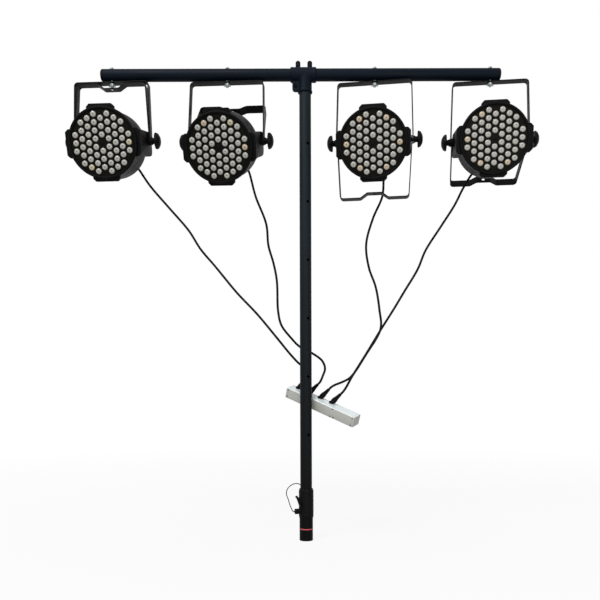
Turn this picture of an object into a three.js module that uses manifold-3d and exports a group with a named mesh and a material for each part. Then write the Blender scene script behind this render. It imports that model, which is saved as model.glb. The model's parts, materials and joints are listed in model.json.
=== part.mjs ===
// A lighting T-bar stand: a pole in a short lower tube, a crossbar in a tee casting on top of it, four lamps
// hung from the crossbar, and a power strip behind the pole that the lamps' cords plug into.
// Millimetres, +Z up. The origin is the centre of the flat end of the base plug.
// X runs along the crossbar to the right, and the lamps shine towards -Y.
import * as THREE from "three";
import { mergeVertices } from "three/addons/utils/BufferGeometryUtils.js";
import Module from "manifold-3d";

const wasm = await Module();
wasm.setup();

const degree = Math.PI / 180;
const fit = 0.3; // gap between pieces that touch
const pivotPlay = 0.4; // gap on the pivot axis between an arm and what it turns against
const overrun = 2; // how far a cut runs past what it cuts
const weld = 0.001; // vertices closer than this are one
const shallowBend = 40 * degree; // a strip bends less than this without a rounded corner
const round = { lens: 6, coarse: 8, medium: 10, barrel: 20 }; // sides of small to large round pieces
const bend = { coarse: 2, fine: 3 }; // steps of a rounded corner
const mostSteps = 80; // of a cord

// Stand
const pole = { radius: 17.5, wall: 2, foot: 18, headroom: 1.6 };
const index = { radius: 4.5, count: 6, first: 315, pitch: 173.2, turn: 25 * degree };
const bar = { radius: 18, wall: 2, length: 1192, height: 1390, offset: -13 };
const barCap = { rim: 8, round: 4, spigot: 16 };
const tee = { sleeve: 78, sleeveWall: 3.4, socketWall: 2.4, drop: 55, offset: -5.2, chamfer: 2.5 };
const teeScrew = { radius: 7.5, height: 20, round: 5, shank: 3, spread: 17.6, shift: 1.8, bite: 2 };
const ear = { reach: 18, depth: 16, top: 19.5, bottom: 6, round: 9, screw: 3, screwHead: 5.5, screwRise: 4 };
const lowerTube = { slack: 0.5, wall: 2, top: 100 };
const basePlug = { flange: 4, spigot: 9, wall: 2.5 };
const collar = { bottom: 68, top: 155, wall: 1.7, shoulder: 7, inset: 2.4, taper: 9 };
const seam = { width: 1.2, turn: -13 * degree };
const collarKnob = { height: 117, turn: 40 * degree, spin: 30 * degree, stem: 3, boss: 7, bossReach: 2 };
const knobWing = { hub: 6.5, hubDepth: 3, span: 39, depth: 10, width: 9 };
const lockPin = { height: 87.5, turn: 20 * degree, shaft: 3, guide: 6.5, guideReach: 3.5 };
const pinHead = { radius: 8.5, depth: 10, round: 2 };
const lanyard = { radius: 1.3, start: 18.7, side: 118 * degree, straight: 5.2, step: 7.8 };

// Lamps: the distances from the pivot axis run back along the beam, out along the axis, or up.
const pivotRise = 10; // height of the pivot axis above the lamp's own axis
const barrel = { radius: 96, wall: 3, shoulder: 8, slope: 34, slopeInset: 12, rear: 62, rearInset: 42 };
const bezel = { front: 116.5, depth: 22.5, overhang: 2, border: 7.7, seat: 4 };
const lug = { rise: 6.5, sideRise: 8.5, width: 78, setback: 8, corner: 8 };
const plate = { thickness: 3, inset: 3, screw: 4, screwRise: 2 };
const lens = { rim: 11.399, gap: 4.3, rise: 3.6 };
const boss = { rise: 12, root: 36, low: 43, high: 27, rearInset: 3, rear: 40, round: 16, hole: 20 };
const gland = { side: 14, drop: 22.4, flange: 11, flangeDepth: 6, body: 8, bodyDepth: 12 };
const glandTip = { radius: 5.5, depth: 8 };
const strap = { width: 25, thickness: 3, bend: 11, pad: 16 };
const hanging = { pivotGap: 0.5, lean: 3.9, top: 176.6 };
const floorYoke = { lean: 8.4, top: 172, joggle: 12, joggleWidth: 43, joggleSlope: 20, hole: 5 };
const knob = { stem: 4, flange: 11, flangeDepth: 3.7, neck: 8.5, neckDepth: 9 };
const knobCap = { radius: 24.5, depth: 14.6, cup: 1 };
const bolt = { radius: 4, head: 6.5, headRise: 6, strapGap: 4.6 };
const saddle = { width: 14, depth: 24, wrap: 5.5 };
const wingNut = { hub: 6.5, hubDepth: 7, span: 21, wing: 2.6, wingDrop: 9, boltEnd: 11 };

// Power strip and cords
const strip = { length: 244, height: 33, depth: 38, edge: 3 };
const stripPlace = { along: 48.9, up: 401.9, gap: 0.4 };
const stripTurn = { yaw: -29 * degree, roll: 21.8 * degree, lean: 16.1 * degree };
const socket = { first: -98, pitch: 40.9, side: 9.2, pin: 3, pinDepth: 8 };
const plug = { base: 8.6, baseDepth: 4, radius: 8.2, tip: 4.6, length: 43, lean: 31 * degree };
const inlet = { width: 20, height: 14, depth: 10 };
const cord = { radius: 3.5, sides: 8, step: 21, straight: 13 };

// One row for each lamp: its side of the bar and, for an inner lamp, its share of the room there, how far it
// hangs askew, turns left and points down, how far its floor yoke is swung back from straight up, and its
// plug's place on the strip.
const boltInset = { left: 32, right: 30 };
const lamps = [
  { name: "lamp_1", side: -1, roll: -1, yaw: -1.3, pitch: 16.4, swing: 0, plug: 0 },
  { name: "lamp_2", side: -1, gapShare: 598 / 1317, roll: 1.1, yaw: -5.8, pitch: 23.5, swing: 36, plug: 1 },
  { name: "lamp_3", side: 1, gapShare: 598 / 1077, roll: 0.2, yaw: -8.5, pitch: 17.8, swing: 180, plug: 2 },
  { name: "lamp_4", side: 1, roll: 0.6, yaw: -7.6, pitch: 11.9, swing: 116.5, plug: 3 },
];

// The free run of each cord, from below its gland to above its plug.
const cordRoutes = [
  [
    [-557, 117, 1200], [-551, 123, 1186], [-541, 112, 1165], [-523, 96, 1146], [-484, 91, 1089],
    [-426, 86, 1021], [-361, 81, 945], [-325, 78, 888], [-278, 74, 832], [-211, 68, 750],
    [-150, 62, 685], [-89, 55, 611], [-47, 49, 559], [-21, 45, 531], [-4, 42, 518], [9, 38, 507],
    [15, 33, 497],
  ],
  [
    [-208, 114, 1213], [-204, 123, 1200], [-196, 119, 1177], [-187, 107, 1155], [-176, 97, 1135],
    [-154, 86, 1053], [-121, 78, 965], [-114, 72, 897], [-98, 67, 840], [-88, 62, 786],
    [-84, 53, 691], [-74, 48, 648], [-46, 42, 610], [-18, 36, 581], [19, 31, 561], [49, 25, 538],
    [58, 17, 514], [51, 11, 491],
  ],
  [
    [238, 114, 1204], [241, 122, 1188], [244, 113, 1155], [245, 100, 1125], [245, 93, 1098],
    [240, 86, 1051], [210, 77, 981], [188, 68, 899], [195, 60, 827], [215, 50, 764],
    [225, 38, 692], [227, 28, 634], [182, 15, 556], [133, 4, 486], [106, -1, 471], [88, -4, 464],
  ],
  [
    [578, 113, 1193], [575, 119, 1180], [560, 110, 1158], [541, 99, 1142], [522, 90, 1124],
    [492, 84, 1077], [464, 79, 1023], [420, 72, 955], [370, 62, 878], [345, 55, 820],
    [301, 44, 748], [266, 33, 691], [227, 18, 631], [179, -2, 554], [134, -17, 483], [119, -22, 456],
  ],
];
const lanyardRoute = [
  [-15, 21, 162], [-29, 20, 167], [-46, 13, 162], [-57, 6, 150], [-59, 2, 138], [-53, -5, 121],
  [-47, -11, 103],
];

// Colours, roughness and metalness
const finishes = {
  blackSteel: [0x181b21, 0.45, 0.4],
  blackPlastic: [0x0f1012, 0.55, 0],
  blackShell: [0x131417, 0.5, 0.1],
  lensPlate: [0x1a1a19, 0.5, 0.1],
  zinc: [0xb9bcbf, 0.3, 0.9],
  aluminium: [0xd0d0ca, 0.4, 0.6],
  rubber: [0x0d0d0e, 0.6, 0],
};

// Shapes

function solidOf(geometry) {
  const bare = new THREE.BufferGeometry();
  bare.setAttribute("position", geometry.getAttribute("position"));
  bare.setIndex(geometry.index);
  const merged = mergeVertices(bare, weld);
  const triangles = new Uint32Array(merged.index.array);
  const points = merged.attributes.position.array;
  const solid = new wasm.Manifold(new wasm.Mesh({ numProp: 3, vertProperties: points, triVerts: triangles }));
  if (solid.volume() > 0) return solid;
  for (let i = 0; i < triangles.length; i += 3)
    [triangles[i + 1], triangles[i + 2]] = [triangles[i + 2], triangles[i + 1]];
  return new wasm.Manifold(new wasm.Mesh({ numProp: 3, vertProperties: points, triVerts: triangles }));
}

function geometryOf(solid) {
  const mesh = solid.getMesh();
  const geometry = new THREE.BufferGeometry();
  geometry.setAttribute("position", new THREE.BufferAttribute(mesh.vertProperties, 3));
  geometry.setIndex(new THREE.BufferAttribute(mesh.triVerts, 1));
  geometry.computeVertexNormals();
  return geometry;
}

function join(...pieces) {
  return geometryOf(pieces.map(solidOf).reduce((whole, piece) => whole.add(piece)));
}

function cut(body, ...cutters) {
  return geometryOf(cutters.map(solidOf).reduce((rest, cutter) => rest.subtract(cutter), solidOf(body)));
}

function common(body, other) {
  return geometryOf(solidOf(body).intersect(solidOf(other)));
}

// A body turned about Z from [radius, height] points: a ring, or a profile that starts and ends on the axis.
function turned(profile, sides) {
  const points = profile.map(([radius, height]) => new THREE.Vector2(radius, height));
  const onAxis = points[0].x === 0 && points.at(-1).x === 0;
  if (!onAxis) points.push(points[0].clone());
  return geometryOf(solidOf(new THREE.LatheGeometry(points, sides).rotateX(Math.PI / 2)));
}

const alongX = (geometry) => geometry.rotateY(Math.PI / 2);
const alongBeam = (geometry) => geometry.rotateX(-Math.PI / 2);

function rod(radius, from, to, sides) {
  return turned([[0, from], [radius, from], [radius, to], [0, to]], sides);
}

// The cutter of a small round hole, whose flat sides all lie outside the radius.
function bore(radius, from, to) {
  return rod(radius / Math.cos(Math.PI / round.coarse), from, to, round.coarse);
}

function tube(outer, inner, from, to, sides) {
  return turned([[inner, from], [outer, from], [outer, to], [inner, to]], sides);
}

function block(x0, x1, y0, y1, z0, z1) {
  const box = new THREE.BoxGeometry(x1 - x0, y1 - y0, z1 - z0);
  return box.translate((x0 + x1) / 2, (y0 + y1) / 2, (z0 + z1) / 2);
}

// A plate with an outline of [x, z] points, centred on the plane y = 0.
function upright(outline, thickness) {
  const shape = new THREE.Shape(outline.map(([x, z]) => new THREE.Vector2(x, z)));
  const plain = new THREE.ExtrudeGeometry(shape, { depth: thickness, bevelEnabled: false });
  return plain.rotateX(Math.PI / 2).translate(0, thickness / 2, 0);
}

// The points of a line of [x, z] corners whose inner corners are rounded, unless they hardly bend.
function bent(corners, round, steps) {
  const line = new THREE.Path();
  const at = corners.map(([x, z]) => new THREE.Vector2(x, z));
  const near = (corner, other) => {
    const reach = Math.min(round, corner.distanceTo(other) / 2);
    return other.clone().sub(corner).setLength(reach).add(corner);
  };
  line.moveTo(at[0].x, at[0].y);
  for (let i = 1; i < at.length - 1; i++) {
    const into = near(at[i], at[i - 1]);
    const out = near(at[i], at[i + 1]);
    const shallow = at[i].clone().sub(into).angleTo(out.clone().sub(at[i])) < shallowBend;
    if (shallow) {
      line.lineTo(at[i].x, at[i].y);
      continue;
    }
    line.lineTo(into.x, into.y);
    line.quadraticCurveTo(at[i].x, at[i].y, out.x, out.y);
  }
  line.lineTo(at.at(-1).x, at.at(-1).y);
  return line.getPoints(steps);
}

// The closed outline of a strip that follows a line.
function stripOutline(line, thickness) {
  const offset = (side) =>
    line.map((point, i) => {
      const before = point.clone().sub(line[i - 1] ?? point).normalize();
      const after = (line[i + 1] ?? point).clone().sub(point).normalize();
      const along = before.clone().add(after).normalize();
      const whole = i === 0 || i === line.length - 1 ? 1 : along.dot(before);
      return [point.x - (along.y * side) / whole, point.y + (along.x * side) / whole];
    });
  return [...offset(thickness / 2), ...offset(-thickness / 2).reverse()];
}

const root = new THREE.Group();

function add(parent, name, geometry, finish) {
  const [color, roughness, metalness] = finishes[finish];
  const mesh = new THREE.Mesh(geometry, new THREE.MeshStandardMaterial({ color, roughness, metalness }));
  mesh.name = name;
  parent.add(mesh);
  return mesh;
}

// Sizes that several lamp pieces share

const plateFace = bezel.front - plate.inset;
const plateBack = plateFace - plate.thickness;
const bezelRadius = barrel.radius + bezel.overhang;
const plateRadius = bezelRadius - bezel.border - fit;
const slopeRadius = barrel.radius - barrel.slopeInset;
const rearRadius = barrel.radius - barrel.rearInset;
const bossReach = barrel.radius + boss.rise;
const bossHoleEnd = bossReach - boss.hole;
const outerLensShare = Math.sqrt(13); // every outermost lens stands this many pitches from the middle
const lensPitch = (plateRadius - lens.rim) / outerLensShare;
const lensRadius = (lensPitch - lens.gap) / 2;
const barrelFront = bezel.front - bezel.depth - fit;
const floorArm = { inner: bossReach + pivotPlay };
floorArm.outer = floorArm.inner + strap.thickness;
const hangingArm = { inner: floorArm.outer + hanging.pivotGap };
hangingArm.outer = hangingArm.inner + strap.thickness;
const knobSeat = hangingArm.outer + pivotPlay;
const lampReach = knobSeat + knob.flangeDepth + knob.neckDepth + knobCap.depth;

// Crossbar, its end caps and the tee casting

const barStart = bar.offset - bar.length / 2;
const barEnd = bar.offset + bar.length / 2;
const strapTop = bar.height - bar.radius - bolt.strapGap;
const pivotHeight = strapTop - hanging.top;

// How far along X a lamp's hanger bolt stands: an outer lamp's near the end of the bar, and an inner lamp's
// beside it, with a share of the room that the two lamps leave before the pole as the gap between them.
function boltPlace({ side, gapShare }) {
  const outer = side < 0 ? barStart + boltInset.left : barEnd - boltInset.right;
  const spare = Math.abs(outer) - 3 * lampReach - pole.radius;
  return gapShare === undefined ? outer : outer - side * (2 * lampReach + gapShare * spare);
}

// Moves a geometry from a lamp's hanger frame, on the bar's axis, to the stand's frame.
function hungAt(geometry, lamp) {
  return geometry.rotateY(lamp.roll * degree).translate(boltPlace(lamp), 0, bar.height);
}

function crossbar() {
  const capGap = barCap.rim + fit;
  const sleeve = tube(bar.radius, bar.radius - bar.wall, barStart + capGap, barEnd - capGap, round.barrel);
  const onAxis = alongX(sleeve).translate(0, 0, bar.height);
  const reach = bar.radius + overrun;
  const boltHoles = lamps.map((lamp) => hungAt(bore(bolt.radius + fit, -reach, reach), lamp));
  const screwBottom = bar.height + bar.radius - bar.wall - overrun;
  const screwHoles = [-1, 1].map((side) =>
    bore(teeScrew.shank + fit, screwBottom, bar.height + reach).translate(teeScrewPlace(side), 0, 0),
  );
  add(root, "crossbar", cut(onAxis, ...boltHoles, ...screwHoles), "blackSteel");
}

function barEndCap(name, end, side) {
  const spigotRadius = bar.radius - bar.wall - fit;
  const profile = [
    [0, barCap.rim], [bar.radius - barCap.round, barCap.rim], [bar.radius, barCap.rim - barCap.round],
    [bar.radius, 0], [spigotRadius, 0], [spigotRadius, -barCap.spigot], [0, -barCap.spigot],
  ];
  const cap = alongX(turned(profile, round.barrel));
  if (side < 0) cap.rotateZ(Math.PI);
  const mesh = add(root, name, cap, "blackPlastic");
  mesh.position.set(end - side * barCap.rim, 0, bar.height);
}

function teeScrewPlace(side) {
  return tee.offset + teeScrew.shift + side * teeScrew.spread;
}

const teeRadius = bar.radius + fit + tee.sleeveWall;
const socketRadius = pole.radius + fit + tee.socketWall;
const teeFoot = bar.height - tee.drop;

function teeCasting() {
  const half = tee.sleeve / 2;
  const sleeveProfile = [
    [0, -half], [teeRadius - tee.chamfer, -half], [teeRadius, -half + tee.chamfer],
    [teeRadius, half - tee.chamfer], [teeRadius - tee.chamfer, half], [0, half],
  ];
  const sleeve = alongX(turned(sleeveProfile, round.barrel)).translate(tee.offset, 0, bar.height);
  const bead = tee.chamfer / 2;
  const lip = [
    [0, teeFoot], [socketRadius, teeFoot], [socketRadius + bead, teeFoot + bead],
    [socketRadius + bead, teeFoot + 2 * tee.chamfer], [socketRadius, teeFoot + 3 * tee.chamfer],
    [socketRadius, bar.height], [0, bar.height],
  ];
  const outer = socketRadius + ear.reach;
  const earCorners = [
    [0, teeFoot + ear.bottom], [-outer, teeFoot + ear.bottom], [-outer, bar.height - ear.top],
    [0, bar.height - ear.top],
  ];
  const earOutline = bent(earCorners, ear.round, bend.fine).map((point) => [point.x, point.y]);
  const barBore = alongX(rod(bar.radius + fit, -half - overrun, half + overrun, round.barrel));
  const poleBore = rod(pole.radius + fit, teeFoot - overrun, bar.height, round.barrel);
  const screwHole = bore(teeScrew.shank + fit, bar.height, bar.height + teeRadius + overrun);
  const casting = cut(
    join(sleeve, turned(lip, round.barrel), upright(earOutline, ear.depth)),
    barBore.translate(tee.offset, 0, bar.height),
    poleBore,
    alongDepth(bore(ear.screw + fit, -ear.depth, ear.depth)).translate(earScrewX, 0, earScrewZ),
    ...[-1, 1].map((side) => screwHole.clone().translate(teeScrewPlace(side), 0, 0)),
  );
  add(root, "tee_casting", casting, "blackSteel");
}

const alongDepth = (geometry) => geometry.rotateX(Math.PI / 2);
const earScrewX = -socketRadius - ear.reach / 2;
const earScrewZ = (teeFoot + ear.bottom + bar.height - ear.top) / 2;

function teeScrews() {
  const seat = teeRadius + fit;
  const bottom = bar.radius - bar.wall - teeScrew.bite;
  const top = seat + teeScrew.height;
  const profile = [
    [0, bottom], [teeScrew.shank, bottom], [teeScrew.shank, seat], [teeScrew.radius, seat],
    [teeScrew.radius, top - teeScrew.round],
    [teeScrew.radius - teeScrew.round / 3, top - teeScrew.round / 3],
    [teeScrew.radius - teeScrew.round, top], [0, top],
  ];
  for (const [name, side] of [["tee_screw_left", -1], ["tee_screw_right", 1]]) {
    const screw = add(root, name, turned(profile, round.medium), "blackSteel");
    screw.position.set(teeScrewPlace(side), 0, bar.height);
  }
  const front = ear.depth / 2 + fit;
  const clampProfile = [
    [0, -ear.depth / 2], [ear.screw, -ear.depth / 2], [ear.screw, front], [ear.screwHead, front],
    [(ear.screwHead + ear.screw) / 2, front + ear.screwRise], [0, front + ear.screwRise],
  ];
  const clampShape = alongDepth(turned(clampProfile, round.coarse));
  const clampScrew = add(root, "tee_clamp_screw", clampShape, "blackSteel");
  clampScrew.position.set(earScrewX, 0, earScrewZ);
}

// Pole, lower tube, collar and their fasteners

const lowerBore = pole.radius + lowerTube.slack;
const lowerRadius = lowerBore + lowerTube.wall;
const collarBore = lowerRadius + fit;
const collarRadius = collarBore + collar.wall;
const poleTop = bar.height - bar.radius - fit - pole.headroom;

function poleTube() {
  const body = tube(pole.radius, pole.radius - pole.wall, pole.foot, poleTop, round.barrel);
  const holes = Array.from({ length: index.count }, (unused, i) =>
    alongDepth(bore(index.radius, 0, pole.radius + overrun))
      .rotateZ(index.turn)
      .translate(0, 0, index.first + i * index.pitch),
  );
  add(root, "pole", cut(body, ...holes), "blackSteel");
}

// Moves a geometry that points along -X to a height on the collar, turned towards the front.
function sideways(geometry, piece) {
  return geometry.rotateZ(piece.turn).translate(0, 0, piece.height);
}

function lowerPieces() {
  const pinHole = sideways(alongX(bore(lockPin.shaft + fit, -collarRadius - overrun, 0)), lockPin);
  const body = tube(lowerRadius, lowerBore, basePlug.flange + fit, lowerTube.top, round.barrel);
  add(root, "lower_tube", cut(body, pinHole), "blackSteel");
  const spigot = lowerBore - fit;
  const spigotTop = basePlug.flange + basePlug.spigot;
  const plugProfile = [
    [0, 0], [lowerRadius, 0], [lowerRadius, basePlug.flange], [spigot, basePlug.flange], [spigot, spigotTop],
    [spigot - basePlug.wall, spigotTop], [spigot - basePlug.wall, basePlug.flange], [0, basePlug.flange],
  ];
  add(root, "base_plug", turned(plugProfile, round.barrel), "blackPlastic");
  const bushTop = collar.top - collar.shoulder - fit;
  const bush = tube(collarBore - fit, pole.radius + fit, lowerTube.top + fit, bushTop, round.barrel);
  add(root, "grip_bush", bush, "blackPlastic");
}

function clampCollar() {
  const under = collar.top - collar.shoulder;
  const profile = [
    [collarBore, collar.bottom], [(collarBore + collarRadius) / 2, collar.bottom],
    [collarRadius, collar.bottom + collar.taper], [collarRadius, under],
    [collarRadius - collar.inset, collar.top], [lowerBore, collar.top], [lowerBore, under],
    [collarBore, under],
  ];
  const wall = (collarBore + collarRadius) / 2;
  const boss = (radius, reach, piece) =>
    sideways(alongX(rod(radius, -collarRadius - reach, -wall, round.medium)), piece);
  const sideHole = (radius, piece) => sideways(alongX(bore(radius + fit, -2 * collarRadius, 0)), piece);
  const half = seam.width / 2;
  const outside = -collarRadius - overrun;
  const slit = block(-half, half, outside, -collarBore + overrun, under, collar.top + overrun);
  const body = cut(
    join(
      turned(profile, round.barrel),
      boss(collarKnob.boss, collarKnob.bossReach, collarKnob),
      boss(lockPin.guide, lockPin.guideReach, lockPin),
    ),
    sideHole(collarKnob.stem, collarKnob),
    sideHole(lockPin.shaft, lockPin),
    slit.rotateZ(seam.turn),
  );
  add(root, "clamp_collar", body, "blackPlastic");
}

// The wing knob: the outline's points are shares of its depth, outward from its seat, and of half its span.
function wingKnob() {
  const seat = collarRadius + collarKnob.bossReach + fit;
  const wingShares = [
    [0, 0.34], [0.35, 0.72], [0.66, 1], [0.95, 0.96], [0.65, 0.68], [0.33, 0.36], [0.25, 0],
  ];
  const half = knobWing.span / 2;
  const upper = wingShares.map(([out, up]) => [-seat - out * knobWing.depth, up * half]);
  const lower = upper.slice(0, -1).map(([x, z]) => [x, -z]).reverse();
  const wings = upright([...upper, ...lower], knobWing.width);
  const stem = alongX(rod(collarKnob.stem, -seat - overrun, -collarBore, round.coarse));
  const hub = alongX(rod(knobWing.hub, -seat - knobWing.hubDepth, -seat, round.medium));
  const shape = join(wings, stem, hub).rotateX(-collarKnob.spin);
  add(root, "collar_knob", sideways(shape, collarKnob), "blackPlastic");
}

const pinHeadSeat = collarRadius + lockPin.guideReach + fit;
const pinHeadEnd = pinHeadSeat + pinHead.depth;

function lockingPin() {
  const face = pinHead.radius - pinHead.round;
  const profile = [
    [0, -pinHeadEnd], [face, -pinHeadEnd], [pinHead.radius, -pinHeadEnd + pinHead.round],
    [pinHead.radius, -pinHeadSeat - pinHead.round], [face, -pinHeadSeat],
    [lockPin.shaft, -pinHeadSeat], [lockPin.shaft, -lowerBore], [0, -lowerBore],
  ];
  add(root, "locking_pin", sideways(alongX(turned(profile, round.medium)), lockPin), "blackPlastic");
}

// A tube of the given radius through [x, y, z] points.
function wire(points, radius, step) {
  const curve = new THREE.CatmullRomCurve3(points, false, "centripetal");
  const section = new THREE.Shape();
  section.absarc(0, 0, radius, 0, 2 * Math.PI);
  const steps = Math.min(mostSteps, Math.round(curve.getLength() / step));
  const settings = { steps, curveSegments: cord.sides / 2, extrudePath: curve, bevelEnabled: false };
  return geometryOf(solidOf(new THREE.ExtrudeGeometry(section, settings)));
}

function pinLanyard() {
  const side = new THREE.Vector3(Math.cos(lanyard.side), Math.sin(lanyard.side));
  const start = side.multiplyScalar(lanyard.start);
  const foot = start.clone().setZ(collar.top + fit);
  const rise = start.clone().setZ(collar.top + fit + lanyard.straight / 2);
  const beyondPin = (reach) => {
    const place = new THREE.Vector3(-pinHeadEnd - reach, 0, lockPin.height);
    return place.applyAxisAngle(new THREE.Vector3(0, 0, 1), lockPin.turn);
  };
  const middle = lanyardRoute.map((point) => new THREE.Vector3(...point));
  const points = [foot, rise, ...middle, beyondPin(lanyard.straight), beyondPin(fit)];
  add(root, "pin_lanyard", wire(points, lanyard.radius, lanyard.step), "blackPlastic");
}

// Lamp pieces, about the middle of the pivot axis

// Moves a shape that is centred on the lamp's own axis to its place below the pivot axis.
function belowPivot(geometry) {
  return geometry.translate(0, 0, -pivotRise);
}

// The space that a floor yoke's arm sweeps as it turns about the pivot axis, beside the housing's boss.
function armSweep(side) {
  const inset = floorYoke.lean / (floorYoke.top - strap.pad);
  const start = bossReach + inset * strap.pad;
  const far = bezel.front + bezelRadius;
  const profile = [
    [strap.pad, bossReach], [far, start - inset * far], [far, knobSeat], [strap.pad, knobSeat],
  ];
  return alongX(turned(profile, round.barrel)).rotateZ(side > 0 ? 0 : Math.PI);
}

function housingShape() {
  const shell = [
    [0, -barrelFront], [barrel.radius, -barrelFront], [barrel.radius, barrel.shoulder],
    [slopeRadius, barrel.slope], [rearRadius, barrel.rear], [0, barrel.rear],
  ];
  const thin = barrel.wall;
  const hollow = [
    [0, -barrelFront - overrun], [barrel.radius - thin, -barrelFront - overrun],
    [barrel.radius - thin, barrel.shoulder], [slopeRadius - thin, barrel.slope - thin / 2],
    [rearRadius - thin, barrel.rear - thin], [0, barrel.rear - thin],
  ];
  const bossCorners = [
    [-barrelFront, -boss.low], [barrel.shoulder, -boss.low], [boss.rear, -boss.low + boss.rearInset],
    [boss.rear, boss.high - boss.rearInset], [barrel.shoulder, boss.high], [-barrelFront, boss.high],
  ];
  const bossLine = bent(bossCorners, boss.round, bend.coarse).map((point) => [point.x, point.y]);
  const width = boss.rise + boss.root;
  const middle = bossReach - width / 2;
  const pad = (side) => upright(bossLine, width).rotateZ(Math.PI / 2).translate(side * middle, 0, 0);
  const hole = bore(knob.stem + fit, bossHoleEnd, bossReach + overrun);
  const screwHole = (side) => alongX(hole.clone()).rotateZ(side > 0 ? 0 : Math.PI);
  return cut(
    join(belowPivot(alongBeam(turned(shell, round.barrel))), pad(-1), pad(1)),
    belowPivot(alongBeam(turned(hollow, round.barrel))),
    ...[-1, 1].flatMap((side) => [screwHole(side), armSweep(side)]),
  );
}

function bezelShape() {
  const back = bezel.front - bezel.depth;
  const lipFront = plateBack - fit;
  const inner = bezelRadius - bezel.border;
  const ring = [
    [inner, -bezel.front], [bezelRadius, -bezel.front], [bezelRadius, -back],
    [inner - bezel.seat, -back], [inner - bezel.seat, -lipFront], [inner, -lipFront],
  ];
  const half = lug.width / 2;
  const lugCorners = (reach) => [
    [-half, 0], [-half, reach - lug.corner], [-half + lug.corner, reach],
    [half - lug.corner, reach], [half, reach - lug.corner], [half, 0],
  ];
  const depth = bezel.depth - lug.setback;
  const middle = -(bezel.front - lug.setback + back) / 2;
  const core = alongBeam(rod(inner + fit, -bezel.front - overrun, overrun, round.barrel));
  const lugs = [lug.rise, lug.sideRise, lug.rise, lug.sideRise].map((rise, quarter) =>
    upright(lugCorners(bezelRadius + rise), depth).rotateY((quarter * Math.PI) / 2).translate(0, middle, 0),
  );
  return belowPivot(join(alongBeam(turned(ring, round.barrel)), cut(join(...lugs), core)));
}

// The lenses stand in nine columns, each with its lenses at the given heights in pitches.
function lensPlaces() {
  const heights = [[1, 2, 3], [0.5, 1.5, 2.5, 3.5], [0, 1, 2, 3], [0.5, 1.5, 2.5], [0, 1]];
  const places = [];
  for (let column = -4; column <= 4; column++)
    for (const height of heights[Math.abs(column)])
      for (const side of height === 0 ? [1] : [-1, 1])
        places.push([column * Math.sin(Math.PI / 3) * lensPitch, side * height * lensPitch]);
  return places;
}

function lensPlateShape() {
  const sunk = -plateFace + plate.thickness / 2;
  const profile = [[0, -plateFace - lens.rise], [lensRadius, -plateFace], [lensRadius, sunk], [0, sunk]];
  const dome = alongBeam(turned(profile, round.lens));
  const screw = alongBeam(rod(plate.screw, -plateFace - plate.screwRise, sunk, round.coarse));
  const disc = alongBeam(rod(plateRadius, -plateFace, -plateBack, round.barrel));
  return belowPivot(join(disc, screw, ...lensPlaces().map(([x, z]) => dome.clone().translate(x, 0, z))));
}

// A yoke standing up from the pivot axis, made from half of its centre line.
function yokeShape(half, armHole, strapHole, top) {
  const other = half.map(([x, z]) => [-x, z]).reverse();
  const line = bent([...half, ...other], strap.bend, bend.fine);
  const band = upright(stripOutline(line, strap.thickness), strap.width);
  const reach = half[0][0] + strap.width;
  const end = strap.width / 2;
  const rounded = join(
    alongX(rod(end, -reach, reach, round.medium)),
    block(-reach, reach, -end - overrun, end + overrun, 0, top + overrun),
  );
  const pivotHole = alongX(bore(armHole, -reach, reach));
  return cut(common(band, rounded), pivotHole, bore(strapHole, end + overrun, top + overrun));
}

function hangingYokeShape() {
  const arm = hangingArm.inner + strap.thickness / 2;
  const high = hanging.top - strap.thickness / 2;
  const half = [
    [arm, -strap.width / 2], [arm, strap.pad], [hangingArm.outer - hanging.lean - strap.thickness / 2, high],
  ];
  return yokeShape(half, knob.stem + fit, bolt.radius + fit, hanging.top);
}

function floorYokeShape() {
  const arm = floorArm.inner + strap.thickness / 2;
  const high = floorYoke.top - strap.thickness / 2;
  const flat = floorYoke.joggleWidth / 2;
  const half = [
    [arm, -strap.width / 2], [arm, strap.pad], [floorArm.outer - floorYoke.lean - strap.thickness / 2, high],
    [flat + floorYoke.joggleSlope, high], [flat, high - floorYoke.joggle],
  ];
  return yokeShape(half, knob.stem + fit, floorYoke.hole, floorYoke.top);
}

function sideKnobShape() {
  const neckEnd = knobSeat + knob.flangeDepth + knob.neckDepth;
  const stemEnd = bossHoleEnd + pivotPlay;
  const capShares = [[1, 0.25], [0.6, 0.85], [0, 1]];
  const cap = capShares.map(([out, along]) => [out * knobCap.radius, neckEnd + along * knobCap.depth]);
  return alongX(turned([
    [0, stemEnd], [knob.stem, stemEnd], [knob.stem, knobSeat], [knob.flange, knobSeat],
    [knob.neck, knobSeat + knob.flangeDepth], [knob.neck, neckEnd],
    [knobCap.radius - knobCap.cup, neckEnd - knobCap.cup], ...cap,
  ], round.medium));
}

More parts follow.
